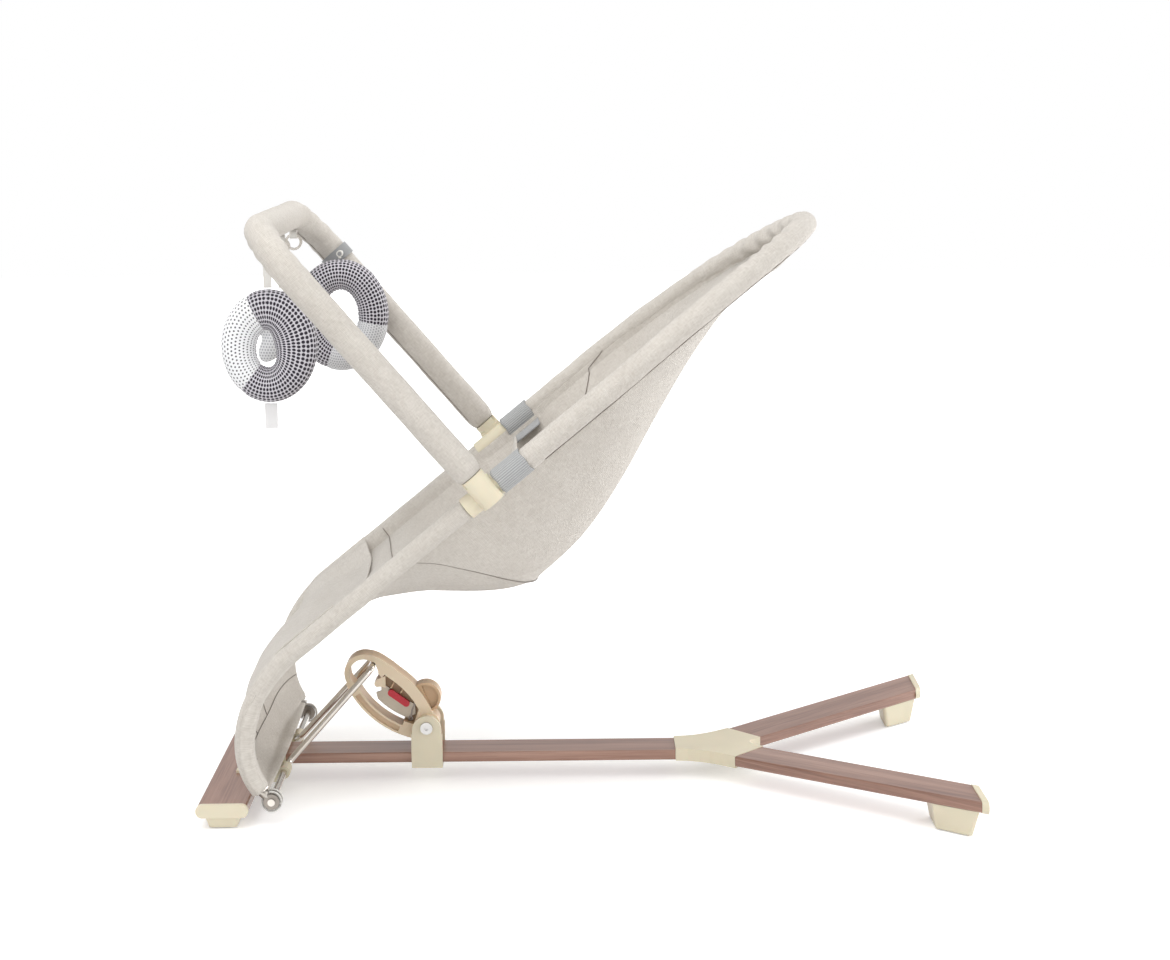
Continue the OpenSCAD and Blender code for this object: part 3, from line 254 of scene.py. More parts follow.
oatmeal = woven("oatmeal_cloth", (0.69, 0.652, 0.598), (0.53, 0.488, 0.435))
# Painted shade: a slightly darker copy of the oatmeal cloth, used on the restraint panel.
oatmeal_painted_shade = woven("oatmeal_shaded_copy", (0.68, 0.643, 0.59), (0.52, 0.48, 0.43))
seam_thread = woven("seam_thread", (0.36, 0.31, 0.27), (0.24, 0.20, 0.17), period=0.0009)
edge_tape = woven("edge_tape", (0.80, 0.78, 0.74), (0.66, 0.64, 0.60), period=0.0010)
label_tape = woven("bare_label_tape", (0.86, 0.85, 0.85), (0.74, 0.73, 0.73), period=0.0008)
print("cloth finishes ready")

# %% [markdown]
# ### Ribbed webbing and dotted plush
# Webbing has fine ribs along its length: one wave draws them and another crosses them with
# threads. The plush toys are printed with generic dots, small ones in staggered rows on the pale
# cloths, and big close ones in a plain grid on the dark cloth. The UV map is cut in cells, and
# each dot is what lies near its cell's middle. A little noise makes the edge ragged, as in print.

# %% Webbing and dotted finishes
def ribbed(name, light, deep, rib_pitch, thread_pitch=0.0011):
    mat, tree, shader = new_finish(name, 0.62, Sheen_Weight=0.15, Specular_IOR_Level=0.3)
    ribs = waves(tree, "Y", rib_pitch, Distortion=0.2)
    threads = waves(tree, "X", thread_pitch, Distortion=0.4)
    tone = maths(tree, "ADD", maths(tree, "MULTIPLY", ribs, 0.75), maths(tree, "MULTIPLY", threads, 0.25))
    link(tree, ramp(tree, tone, (0.1, deep), (0.8, light)), shader.inputs["Base Color"])
    bumped(tree, shader, tone, 0.0005)
    return mat

def dotted(name, step, dot_r, ground, dot, staggered):
    """step is the distance between dots in metres, and dot_r a dot's radius as a share of it."""
    mat, tree, shader = new_finish(name, 0.8, Sheen_Weight=0.2, Specular_IOR_Level=0.2)
    place = node(tree, "SeparateXYZ")
    link(tree, placed(tree, "UV", (1 / step, 1 / step, 1)), place.inputs[0])
    row = maths(tree, "FLOOR", place.outputs["Y"])
    shift = maths(tree, "MULTIPLY", maths(tree, "MODULO", row, 2), 0.5 if staggered else 0.12)
    x = maths(tree, "SUBTRACT", maths(tree, "FRACT", maths(tree, "ADD", place.outputs["X"], shift)), 0.5)
    y = maths(tree, "SUBTRACT", maths(tree, "FRACT", place.outputs["Y"]), 0.5)
    squares = maths(tree, "ADD", maths(tree, "MULTIPLY", x, x), maths(tree, "MULTIPLY", y, y))
    fibres = noisy(tree, placed(tree, "UV"), 900, 2)
    ragged = maths(tree, "MULTIPLY", maths(tree, "SUBTRACT", fibres, 0.5), 0.16)
    edge = maths(tree, "ADD", maths(tree, "SQRT", squares), ragged)
    soft = 0.05
    link(tree, ramp(tree, edge, (dot_r - soft, dot), (dot_r + soft, ground)), shader.inputs["Base Color"])
    bumped(tree, shader, fibres, 0.0003)
    return mat

grey_webbing = ribbed("grey_webbing", (0.47, 0.475, 0.475), (0.29, 0.293, 0.295), 0.0021)
white_dots = dotted("white_with_small_dots", 0.0042, 0.23, (0.84, 0.84, 0.85), (0.03, 0.025, 0.04), True)
dark_grid = dotted("dark_dot_grid", 0.0043, 0.40, (0.60, 0.58, 0.62), (0.03, 0.025, 0.035), False)
mesh_grey = dotted("grey_dot_mesh", 0.0032, 0.30, (0.66, 0.66, 0.67), (0.33, 0.33, 0.35), True)
print("webbing and toy finishes ready")

# %% [markdown]
# ### Wood, plastic, metal and rubber
# The boards are a dark walnut tone with fine straight grain and open pores. The grain runs along
# each board, so the pattern is turned with the front bar and the rear legs. The lever's colour follows
# the depth into its window: painted light makes the tan plastic paler on the outer face, and painted
# shade makes it brown deep inside the recess.
# Plastic lets a little light in under its skin. Metal has none, but a faint drawn grain.

# %% Hard finishes
def walnut(name, turn):
    mat, tree, shader = new_finish(name, 0.42, Coat_Weight=0.7, Coat_Roughness=0.24)
    wide = placed(tree, "Object", (2.2, 48, 70), (0, 0, turn))
    fine = placed(tree, "Object", (14, 620, 620), (0, 0, turn))
    figure = noisy(tree, wide, 1.0, 5, 0.6)
    pores = noisy(tree, fine, 1.0, 2, 0.6)
    tone = maths(tree, "ADD", maths(tree, "MULTIPLY", figure, 0.7), maths(tree, "MULTIPLY", pores, 0.3))
    link(tree, ramp(tree, tone, (0.33, (0.15, 0.062, 0.040)), (0.5, (0.275, 0.140, 0.096)),
                    (0.66, (0.39, 0.225, 0.165))), shader.inputs["Base Color"])
    bumped(tree, shader, tone, 0.0003)
    return mat

def moulded(name, colour, roughness=0.42, grain=0.00006):
    mat, tree, shader = new_finish(name, roughness, Subsurface_Weight=0.08, Subsurface_Scale=0.004,
                                   Specular_IOR_Level=0.45)
    skin = noisy(tree, placed(tree, "Object"), 1400, 2)
    flow = noisy(tree, placed(tree, "Object"), 18, 2)
    deep = tuple(c * 0.93 for c in colour)
    link(tree, ramp(tree, flow, (0.35, deep), (0.65, colour)), shader.inputs["Base Color"])
    bumped(tree, shader, skin, grain)
    return mat

def plated(name, colour, roughness):
    mat, tree, shader = new_finish(name, roughness, Metallic=1.0)
    drawn = noisy(tree, placed(tree, "Object", (60, 60, 60)), 1.0, 4)
    deep = tuple(c * 0.86 for c in colour)
    link(tree, ramp(tree, drawn, (0.3, deep), (0.7, colour)), shader.inputs["Base Color"])
    fine = noisy(tree, placed(tree, "Object"), 900, 2)
    bumped(tree, shader, fine, 0.00002)
    return mat

cream_plastic = moulded("cream_plastic", (0.71, 0.645, 0.49))
# Painted light: the lever is tan plastic, and this paler colour of its outer face stands for the light on its
# rim.
lever_lit_face = (0.77, 0.64, 0.47)
lever_plastic = moulded("lever_plastic", lever_lit_face, 0.4)
lever_tree = lever_plastic.node_tree
# Painted light and shade by depth into the window: pale at the outer face, the tan plastic a little deeper,
# then brown where the recess is in shade.
depth = node(lever_tree, "SeparateXYZ")
from_face = placed(lever_tree, "Object", scale=(1, 50, 1), move=(0, 0.013, 0))
link(lever_tree, from_face, depth.inputs[0])
link(lever_tree, ramp(lever_tree, depth.outputs["Y"], (0.02, lever_lit_face), (0.2, (0.62, 0.44, 0.28)),
                      (0.8, (0.52, 0.36, 0.22))), lever_tree.nodes["Principled BSDF"].inputs["Base Color"])
red_plastic = moulded("red_slider_plastic", (0.52, 0.012, 0.028), 0.3)
sole_rubber = moulded("sole_rubber", (0.34, 0.32, 0.28), 0.8, 0.0002)
nickel = plated("bright_nickel", (0.70, 0.655, 0.60), 0.16)
zinc = plated("zinc_screws", (0.62, 0.61, 0.60), 0.28)
plate_metal = plated("notched_plate_metal", (0.36, 0.31, 0.25), 0.34)
dark_wire = plated("dark_spring_wire", (0.20, 0.17, 0.15), 0.3)
print("hard finishes ready")

# %% [markdown]
# ### The frame's own parts
# Hard parts come from CAD with their exact form, so they need only a finish. A part of each kind
# shares one material: changing it once changes them all. Only the boards differ, by their grain.

# %% Finishes on the frame's own parts
def give(finish, *names):
    for name in names:
        mesh = nodes[name].data
        mesh.materials.clear()
        mesh.materials.append(finish)

leg_angle = math.radians(41)
give(walnut("walnut_across", math.radians(90)), "front_bar")
give(walnut("walnut_along", 0), "spine_bar")
give(walnut("walnut_left_leg", -leg_angle), "rear_leg_left")
give(walnut("walnut_right_leg", leg_angle), "rear_leg_right")
give(cream_plastic, "fork_joint", "front_joint", "front_cap_left", "front_cap_right", "rear_cap_left",
     "rear_cap_right", "front_foot_left", "front_foot_right", "rear_foot_left", "rear_foot_right",
     "lever_bracket", "socket_left", "socket_right", "toy_bar_plugs")
give(lever_plastic, "lever_frame")
give(sole_rubber, "foot_pads")
give(zinc, "base_screws", "lever_bolt")
give(nickel, "spring_rod", "lower_rail_left", "lower_rail_right", "head_bow", "toy_bar_tube", "toy_rings")
give(plated("dark_fittings", (0.30, 0.27, 0.24), 0.3), "rail_end_left", "rail_end_right")
give(plate_metal, "notch_plate")
give(dark_wire, "lever_spring")
give(red_plastic, "lock_slider")
print("finished nodes:", sum(1 for n in nodes.values() if n.data.materials))

# %% [markdown]
# ## The seat's own frame
# Everything sewn follows the two rails. A point on the seat is named by `s`, how far up the rail
# it lies, `y`, how far across, and `n`, how far it stands square to the rails. The cloth could be
# placed in the room's own directions, but the seat leans, and here each row of cloth is one `s`.

# %% Rail curves
slope = math.radians(39.3)
bend = Vector((-0.292, 0, 0.1795))
pivot = Vector((-0.317, 0, 0.025))
rail_half, toe_half, reach, straight = 0.183, 0.172, 0.668, 0.406
toe_handle, bend_handle = 0.055, 0.071  # how far the J bend runs straight on at each end

def seat_point(s, y, n):
    return Vector((bend.x + s * math.cos(slope) - n * math.sin(slope), y,
                   bend.z + s * math.sin(slope) + n * math.cos(slope)))

def mix(a, b, t):
    return a + (b - a) * t

def bezier(p, t):
    u = 1 - t
    return p[0] * u ** 3 + p[1] * (3 * u * u * t) + p[2] * (3 * u * t * t) + p[3] * t ** 3

def j_point(t):
    return bezier([
        Vector((pivot.x, toe_half, pivot.z)),
        Vector((pivot.x - 0.78 * toe_handle, mix(toe_half, rail_half, 0.33), pivot.z + 0.636 * toe_handle)),
        Vector((bend.x - bend_handle * math.cos(slope), rail_half, bend.z - bend_handle * math.sin(slope))),
        Vector((bend.x, rail_half, bend.z))], t)

bow = [Vector((straight, rail_half)), Vector((mix(straight, reach, 0.38), 0.92 * rail_half)),
       Vector((mix(straight, reach, 0.95), 0.574 * rail_half)), Vector((reach, 0))]

def dip(s):
    return -0.015 * max(0, (s - straight) / (reach - straight)) ** 2.4

def bow_point(t):
    flat = bezier(bow, t)
    return seat_point(flat.x, flat.y, dip(flat.x))

def rail_y(s):
    if s <= straight:
        return rail_half
    low, high = 0.0, 1.0
    for _ in range(18):
        middle = (low + high) / 2
        if bezier(bow, middle).x < s:
            low = middle
        else:
            high = middle
    return bezier(bow, (low + high) / 2).y

def mirrored(p):
    return Vector((p.x, -p.y, p.z))

print("rail from", [round(c, 3) for c in j_point(0)], "to the head at", [round(c, 3) for c in bow_point(1)])

# %% [markdown]
# ## Sewing tools
# Three helpers make nearly all the cloth. The first turns rows of points into a sheet with a UV map
# in metres and gives it thickness. A plane could be sculpted by hand instead, but rows of points
# can be changed by one number and made again.

# %% Sheet helpers
def mesh_piece(name, points, faces, uvs, finishes, finish_of=None):
    mesh = bpy.data.meshes.new(name)
    mesh.from_pydata([tuple(p) for p in points], [], faces)
    layer = mesh.uv_layers.new(name="cloth")
    for face in mesh.polygons:
        for corner, key in zip(face.loop_indices, faces[face.index]):
            layer.data[corner].uv = uvs(face.index, key)
        face.use_smooth = True
        if finish_of:
            face.material_index = finish_of(face.index)
    for finish in finishes:
        mesh.materials.append(finish)
    piece = bpy.data.objects.new(name, mesh)
    bpy.context.scene.collection.objects.link(piece)
    return piece

def applied(piece, *wanted):
    bpy.ops.object.select_all(action="DESELECT")
    bpy.context.view_layer.objects.active = piece
    piece.select_set(True)
    for modifier in wanted:
        bpy.ops.object.modifier_apply(modifier=modifier.name)
    return piece

def soften(piece):
    soft = piece.modifiers.new("softness", "SUBSURF")
    soft.levels = soft.render_levels = 1
    return soft

def running(line):
    """The length along a line from its start to each of its points."""
    run = [0.0]
    for a, b in zip(line, line[1:]):
        run.append(run[-1] + (b - a).length)
    return run

def cloth_sheet(name, rows, finish, thickness, offset, smooth=True):
    high, wide = len(rows), len(rows[0])
    points = [p for row in rows for p in row]
    faces = [(r * wide + c, r * wide + c + 1, (r + 1) * wide + c + 1, (r + 1) * wide + c)
             for r in range(high - 1) for c in range(wide - 1)]
    down = running([row[wide // 2] for row in rows])
    over = running(rows[high // 2])
    piece = mesh_piece(name, points, faces, lambda face, key: (over[key % wide], down[key // wide]), [finish])
    solid = piece.modifiers.new("thickness", "SOLIDIFY")
    solid.thickness, solid.offset, solid.use_even_offset = thickness, offset, True
    return applied(piece, solid, soften(piece)) if smooth else applied(piece, solid)

def hung_sheet(rows):
    across, down = (max(running(line)[-1] for line in lines) for lines in (rows, list(zip(*rows))))
    area = sum((b[c + 1] - a[c]).cross(b[c] - a[c + 1]).length / 2
               for a, b in zip(rows, rows[1:]) for c in range(len(a) - 1))

print("sheet helpers ready")

# %% [markdown]
# ### Sleeves
# A sleeve is cloth round a tube. It is swept along a path as a ring of points at each step, wall
# and lining in one closed piece. A bevelled curve would do for an even hose, but here the radius
# changes from step to step and round the ring, and that makes pleats and soft ends.

# %% Sleeve helper
def ring_frame(path, i, side=None):
    """Two directions square to the path at its point i and to each other."""
    tangent = (path[min(i + 1, len(path) - 1)] - path[max(i - 1, 0)]).normalized()
    if side is None:
        side = Vector((0, 0, 1)) if abs(tangent.z) < 0.9 else Vector((1, 0, 0))
    u = tangent.cross(side).normalized()
    return u, tangent.cross(u)

def sleeve(name, path, outer, inner, side, finish, around):
    """outer(i, angle) is the radius of the outer wall at path point i; the lining has radius inner."""
    count = len(path)
    length = running(path)
    angles = [2 * math.pi * k / around for k in range(around)]
    points, faces, strips = [], [], []
    for radius in (outer, lambda i, angle: inner):
        for i in range(count):
            u, v = ring_frame(path, i, side)
            points += [path[i] + radius(i, a) * (math.cos(a) * u + math.sin(a) * v) for a in angles]
    size, last = count * around, (count - 1) * around
    def add(strip, *corners):
        faces.append(corners)
        strips.append(strip)
    for i in range(count - 1):
        for k in range(around):
            a, b = i * around + k, i * around + (k + 1) % around
            add(k, a, b, b + around, a + around)
            add(k, size + a, size + a + around, size + b + around, size + b)
    for k in range(around):
        n = (k + 1) % around
        add(k, size + k, size + n, n, k)
        add(k, last + k, last + n, size + last + n, size + last + k)
    mean = outer(count // 2, 0)
    def uv(face, key):
        k = strips[face]
        angle = angles[k] if key % around == k else angles[k] + 2 * math.pi / around
        return length[key % size // around], angle * mean
    piece = mesh_piece(name, points, faces, uv, [finish])
    return applied(piece, soften(piece))

print("sleeve helper ready")

# %% [markdown]
# ### Seams
# Stitching is thin beside the cloth, yet it tells the eye how the cover is put together. It could
# be painted in the material, but a raised line catches the light. It is a thin tube of six sides.

# %% Seam helper
def seam(name, lines, radius, finish=seam_thread):
    """Raised stitching: thin tubes along the given lines, joined in one piece."""
    sides = 6
    points, faces, coords = [], [], []
    for line in lines:
        length = running(line)
        for i, p in enumerate(line):
            u, v = ring_frame(line, i)
            for k in range(sides):
                angle = 2 * math.pi * k / sides
                points.append(p + radius * (math.cos(angle) * u + math.sin(angle) * v))
                coords.append((length[i], 0.001 * k))
                if i:
                    a = len(points) - 1
                    b = a - k + (k + 1) % sides
                    faces.append((a - sides, b - sides, b, a))
        start, end = len(points) - sides * len(line), len(points) - sides
        faces.append(tuple(start + k for k in reversed(range(sides))))
        faces.append(tuple(end + k for k in range(sides)))
    return mesh_piece(name, points, faces, lambda face, key: coords[key], [finish])

print("seam helper ready")

# %% [markdown]
# ## The hammock
# The seat itself is one hanging sheet. On the real seat it is cut from panels that make a deep
# bag below the hips and run flat towards the head. It is built as rows from knee to head, each
# row a hanging curve between the rails, and pulled into soft folds where the seams gather it. A
# simulated sheet would sag well, but it would have to be cut free of the rails it is sewn round.

# %% Hammock shape
first_row, last_row, deepest = 0.052, 0.664, 0.222
hip_depth = 0.120
strap_below, strap_above = (0.222, 0.240), (0.309, 0.325)  # where the cloth leaves the rail and comes back
edge_climb = 0.3  # v runs past 1 by this much, up the inside of the rail
beside_rail, climb_low, climb_high = 0.0135, 0.0128, 0.0066  # the cloth's distance inside the rail's axis

def ease(low, high, s):
    t = min(1, max(0, (s - low) / (high - low)))
    return t * t * (3 - 2 * t)

def hang(s):
    """How far below the rail's axis the cloth starts: lower under the webbing."""
    return 0.0100 + 0.0044 * ease(*strap_below, s) - 0.0021 * ease(*strap_above, s)

def bag_depth(s):
    """The sag in the middle of each row: deepest under the hips."""
    if s < deepest:
        share = 0.08 + 0.92 * math.sin(math.pi / 2 * max(0, (s - first_row) / (deepest - first_row))) ** 2
    else:
        share = 0.06 + 0.94 * math.cos(math.pi / 2 * (s - deepest) / (reach - deepest)) ** 2.4
    return max(hang(s) + 0.005, hip_depth * share)

def hammock_n(s, v):
    """The cloth's level, for v from -1 at one rail to 1 at the other."""
    sag = 1 - min(1, abs(v)) ** 2.8
    edge = 0.007 + 0.004 * ease(*strap_below, s) * (1 - ease(*strap_above, s))
    head_depth = 0.011
    deep = mix(bag_depth(s), head_depth, ease(0.615, 0.650, s))
    return dip(s) - edge - (deep - edge) * sag

print("bag depth:", [round(bag_depth(s), 3) for s in (first_row, deepest, last_row)])

# %% Hammock folds
def fold(s, y, centre, along, width, length, height):
    """Height of one soft fold: a ridge through centre that runs along a direction."""
    ds, dy = s - centre[0], y - centre[1]
    run = ds * along[0] + dy * along[1]
    off = -ds * along[1] + dy * along[0]
    return height * math.exp(-(off / width) ** 2 - (run / length) ** 2)

def bag_seam_s(v):
    """Where the seam under the bag crosses: it curves forward at the rails."""
    return 0.214 - 0.064 * abs(v) ** 3.2

hammock_folds = []
for near in (-1, 1):
    for centre, along, width, length, height in (
            ((0.300, 0.150), (0.80, -0.60), 0.010, 0.050, 0.0030),
            ((0.330, 0.135), (0.70, -0.71), 0.012, 0.060, -0.0025),
            ((0.150, 0.140), (0.75, 0.66), 0.010, 0.045, 0.0026),
            ((0.115, 0.110), (0.85, 0.52), 0.014, 0.060, -0.0030),
            ((0.560, 0.100), (0.92, 0.40), 0.006, 0.045, 0.0024),
            ((0.575, 0.080), (0.95, 0.30), 0.006, 0.050, -0.0022),
            ((0.590, 0.060), (0.97, 0.22), 0.006, 0.050, 0.0024),
            ((0.600, 0.030), (0.99, 0.10), 0.006, 0.045, -0.0022)):
        hammock_folds.append(((centre[0], near * centre[1]), (along[0], near * along[1]),
                              width, length, height))

print("folds:", len(hammock_folds))

# %% Hammock cloth
def hammock_surface(s, v, lift=0.0):
    """A point of the cloth with its folds, the dent along the bag's seam, and its edges up the rails."""
    if abs(v) > 1:
        climb = (abs(v) - 1) / edge_climb
        y = rail_y(s) - mix(climb_low, climb_high, climb ** 2)
        return seat_point(s, math.copysign(y, v), dip(s) + mix(-0.004, 0.0094, climb))
    y = v * (rail_y(s) - beside_rail)
    edge = 1 - abs(v) ** 6
    rise = sum(fold(s, y, *f) for f in hammock_folds) * edge
    rise += 0.0022 * edge * noise.noise(Vector((s * 14, y * 16, 1.7)))
    seam_depth, seam_width = 0.0016, 0.005
    rise -= seam_depth * math.exp(-((s - bag_seam_s(v)) / seam_width) ** 2) * edge
    return seat_point(s, y, hammock_n(s, v) + rise + lift)

row_count, column_count = 118, 72
cover_thickness = 0.0018
inside = [math.sin(math.pi / 2 * (2 * c / column_count - 1)) for c in range(column_count + 1)]
steps_across = [-1.3, -1.2, -1.1] + inside + [1.1, 1.2, 1.3]
hammock_rows = [[hammock_surface(mix(first_row, last_row, r / row_count), v) for v in steps_across]
                for r in range(row_count + 1)]
hammock_cover = cloth_sheet("hammock_cover", hammock_rows, oatmeal, cover_thickness, 1)
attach(hammock_cover, "seat")
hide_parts("hammock")
hung_sheet(hammock_rows)
print("hammock polygons:", len(hammock_cover.data.polygons))

# %% [markdown]
# ## Head bow cover and lower rail sleeves
# A padded sleeve hides the head bow. Its cloth is gathered round the bend, so small pleats run
# across it there: a wave along the path, strongest a little to each side of the head's middle.

# %% Head bow cover
def along_path(points, step):
    """The same line in steps of even length, as near to step as a whole number allows."""
    run = running(points)
    count = max(2, round(run[-1] / step))
    made, i = [], 0
    for k in range(count + 1):
        want = run[-1] * k / count
        while i < len(run) - 2 and run[i + 1] < want:
            i += 1
        t = (want - run[i]) / max(1e-9, run[i + 1] - run[i])
        made.append(points[i].lerp(points[i + 1], min(1, max(0, t))))
    return made

square_up = (seat_point(0, 0, 1) - seat_point(0, 0, 0)).normalized()
socket_start, socket_end = 0.228, 0.290
socket_gap = 0.0003
bow_step, rail_step = 0.0042, 0.005
bow_r, bow_lining_r = 0.0121, 0.0085
half_bow = [seat_point(socket_end + socket_gap, rail_half, 0)] + [bow_point(t / 60) for t in range(61)]
bow_path = along_path(half_bow + [mirrored(p) for p in half_bow[-2::-1]], bow_step)
bow_length = bow_step * (len(bow_path) - 1)

def bow_radius(i, angle):
    run = i / (len(bow_path) - 1)
    from_middle = abs(run - 0.5) * bow_length
    gather_at, gather_width = 0.085, 0.085
    gathered = math.exp(-((from_middle - gather_at) / gather_width) ** 2)
    wave = math.sin(i * 1.15 + 1.8 * math.sin(angle * 2 + i * 0.11))
    pleat = 0.0015 * gathered * wave * (0.6 + 0.4 * math.cos(angle + 0.8))
    soft = 0.0006 * noise.noise(Vector((run * 40, math.cos(angle) * 1.5, math.sin(angle) * 1.5)))
    ends = 0.0012 * math.exp(-min(i, len(bow_path) - 1 - i) / 2.0)
    return bow_r + pleat + soft - ends

bow_cover = sleeve("bow_cover", bow_path, bow_radius, bow_lining_r, square_up, oatmeal, 26)
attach(bow_cover, "seat")
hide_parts("bow_sleeve")

print("bow cover along", round(bow_length, 3), "m")

# %% [markdown]
# ### Lower rail sleeves
# The lower rails wear thin sleeves of the same cloth, pulled tight, so they need only a faint
# unevenness and a hem at each end. They are mirrored by their path, so that each has its own mesh.

# %% Lower rail sleeves
sleeve_start, lining_r, thin_r, sleeve_middle_r = 0.095, 0.0084, 0.0099, 0.0092
for name, side in (("left", 1), ("right", -1)):
    toe_path = [j_point(mix(sleeve_start, 1, i / 40)) for i in range(41)]
    toe_path.append(seat_point(socket_start - socket_gap, rail_half, 0))
    path = along_path([p if side > 0 else mirrored(p) for p in toe_path], rail_step)
    def thin_radius(i, angle, count=len(path)):
        hem = 0.0004 * math.exp(-min(i, count - 1 - i) / 1.2)
        bumps = noise.noise(Vector((i * 0.22, math.cos(angle) * 1.4, math.sin(angle) * 1.4)))
        return thin_r + hem + 0.00035 * bumps
    cover = sleeve("lower_rail_cover_" + name, path, thin_radius, lining_r, Vector((0, 1, 0)), oatmeal, 22)
    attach(cover, "seat")
    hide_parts("lower_sleeve_" + name)
    print("sleeve", name, "is", round(rail_step * (len(path) - 1), 3), "m long")

# %% [markdown]
# ## Foot panel
# Below the knees the cover runs down inside the J bend to the spring rod. It is a taut strip
# that hollows a little towards the front. Its edges wrap the rails low down and lie over them
# higher up, and its hem turns round the rod. One surface function does all of this, blended with
# `ease`, because separate strips would show gaps where they meet.

# %% Foot panel
rail_share = 0.1  # metres of straight rail for each 1 of t past the J bend
hem_share = 0.1  # the hem round the rod takes t from 0 to this
flap_start = 0.94  # the cloth past this v wraps round the rail
beside_sleeve, beside_hammock, wrap_r = 0.0086, 0.0135, 0.0108

def panel_point(t, v, stand=0.0):
    """t runs from the hem at the rod (0) up the J bend (to 1) and on along the straight rail."""
    if t <= 1:
        at = max(t, hem_share)
        p = j_point(at)
        ahead = j_point(min(1, at + 0.01)) - j_point(at - 0.01)
        tuck, base = beside_sleeve, 0.0
    else:
        run = (t - 1) * rail_share
        tucked = ease(0, first_row, run)
        p = seat_point(run, rail_half, 0)
        ahead = seat_point(0.01, 0, 0) - seat_point(0, 0, 0)
        tuck = mix(beside_sleeve, beside_hammock, tucked)
        base = tucked * (hammock_n(max(run, first_row), v) + 0.0015)
        base *= 1 - abs(v) ** 10
    square = Vector((ahead.x, 0, ahead.z)).normalized().cross(Vector((0, 1, 0)))
    low = ease(0, 0.35, 0.95 - t)
    flap = low * max(0, abs(v) - flap_start) / 0.06
    inner = min(1, abs(v) / flap_start)
    lengthwise = math.sin(math.pi * min(1, max(0, (t - 0.02) / 1.15)))
    hollow = mix(0.006, 0.016, low) * (1 - inner ** 2.4) * lengthwise
    wrap = math.pi * 0.62 * flap
    behind = -wrap_r * low * inner ** 8 * math.cos(wrap)
    ripple = 0.0013 * noise.noise(Vector((t * 5, v * 3, 4.2))) * (1 - inner ** 4)
    if flap > 0:
        y = p.y + wrap_r * math.sin(wrap)
    else:
        beside = mix(beside_sleeve, 0.0, low) if t <= 1 else tuck
        y = mix(p.y - beside, p.y, low) * (abs(v) / mix(1, flap_start, low))
    over = ease(0.62, 0.96, t) * max(0, abs(v) - 0.8) / 0.2
    y = mix(y, p.y - 0.0015, over ** 2)
    spot = Vector((p.x, math.copysign(y, v), p.z))
    spot += (stand + base + hollow + behind + ripple + 0.0105 * over ** 0.7) * square
    if t < hem_share:
        down = (hem_share - t) / hem_share
        turn = math.radians(mix(141, mix(112, 96, 1 - v * v), down))
        far = mix((spot - Vector((pivot.x, spot.y, pivot.z))).length, 0.0098, down) + stand
        spot = Vector((pivot.x + far * math.cos(turn), spot.y, pivot.z + far * math.sin(turn)))
    return spot

top_t = 1 + (first_row + 0.012) / rail_share
flap_steps = [0.955, 0.97, 0.985, 1]
panel_steps = ([-v for v in reversed(flap_steps)] + [flap_start * (c / 24 - 1) for c in range(49)]
               + flap_steps)
panel_rows = [[panel_point(mix(0.0, top_t, r / 60), v) for v in panel_steps] for r in range(61)]
foot_cover = cloth_sheet("foot_cover", panel_rows, oatmeal, cover_thickness, 0)
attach(foot_cover, "seat")
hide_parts("foot_panel")
hung_sheet(panel_rows)
print("foot cover rows:", len(panel_rows))

# %% [markdown]
# ## Restraint panel
# A soft panel comes up between the legs from the bag and widens to the two webbing straps. Its
# level runs from just above the bag to just below the rails. It is a thicker sheet than the cover,
# with the thickness on both sides, which makes it read as two layers with padding between.

# %% Restraint panel
arm_station, arm_r = socket_start + 0.026, 0.011
strap_start = arm_station + arm_r + 0.004
restraint_low, restraint_high = 0.150, strap_start + 0.006
low_half, waist_half, top_half = 0.052, 0.074, rail_half - 0.024
above_bag, top_n = 0.018, -0.009

def restraint_point(t, v):
    """t runs from the bag (0) up to the straps (1), and v from one edge to the other."""
    s = mix(restraint_low, restraint_high, t)
    if t < 0.5:
        half = mix(low_half, waist_half, t / 0.5)
    else:
        half = mix(waist_half, top_half, ((t - 0.5) / 0.5) ** 1.6)
    n = mix(-bag_depth(s) + above_bag, top_n, t ** 0.8) - 0.008 * math.sin(math.pi * t) + 0.0015
    middle_sag = 0.007 * (1 - v * v) * t
    ripple = 0.0014 * noise.noise(Vector((t * 4, v * 3, 9.1)))
    return seat_point(s, v * half, n - middle_sag + ripple)

restraint_rows = [[restraint_point(r / 30, c / 15 - 1) for c in range(31)] for r in range(31)]
# The restraint panel takes the slightly darker copy of the oatmeal cloth: painted shade.
restraint_cover = cloth_sheet("restraint_cover", restraint_rows, oatmeal_painted_shade, 0.0028, 0)
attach(restraint_cover, "seat")
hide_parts("restraint_panel")
print("restraint width at the straps:", round(2 * top_half, 3))

# %% [markdown]
# ## Seams
# Each panel joint is a thin raised line of thread. The lines are laid on the same surfaces that
# made the cloth, a fraction of a millimetre proud, so they follow every fold. Lines seen from
# below are lowered by the cloth's thickness as well. The same helper makes the small elastic
# loops that hold the hem to the rod's ends.

# %% Seams
def spread(count):
    return [k / count for k in range(count + 1)]

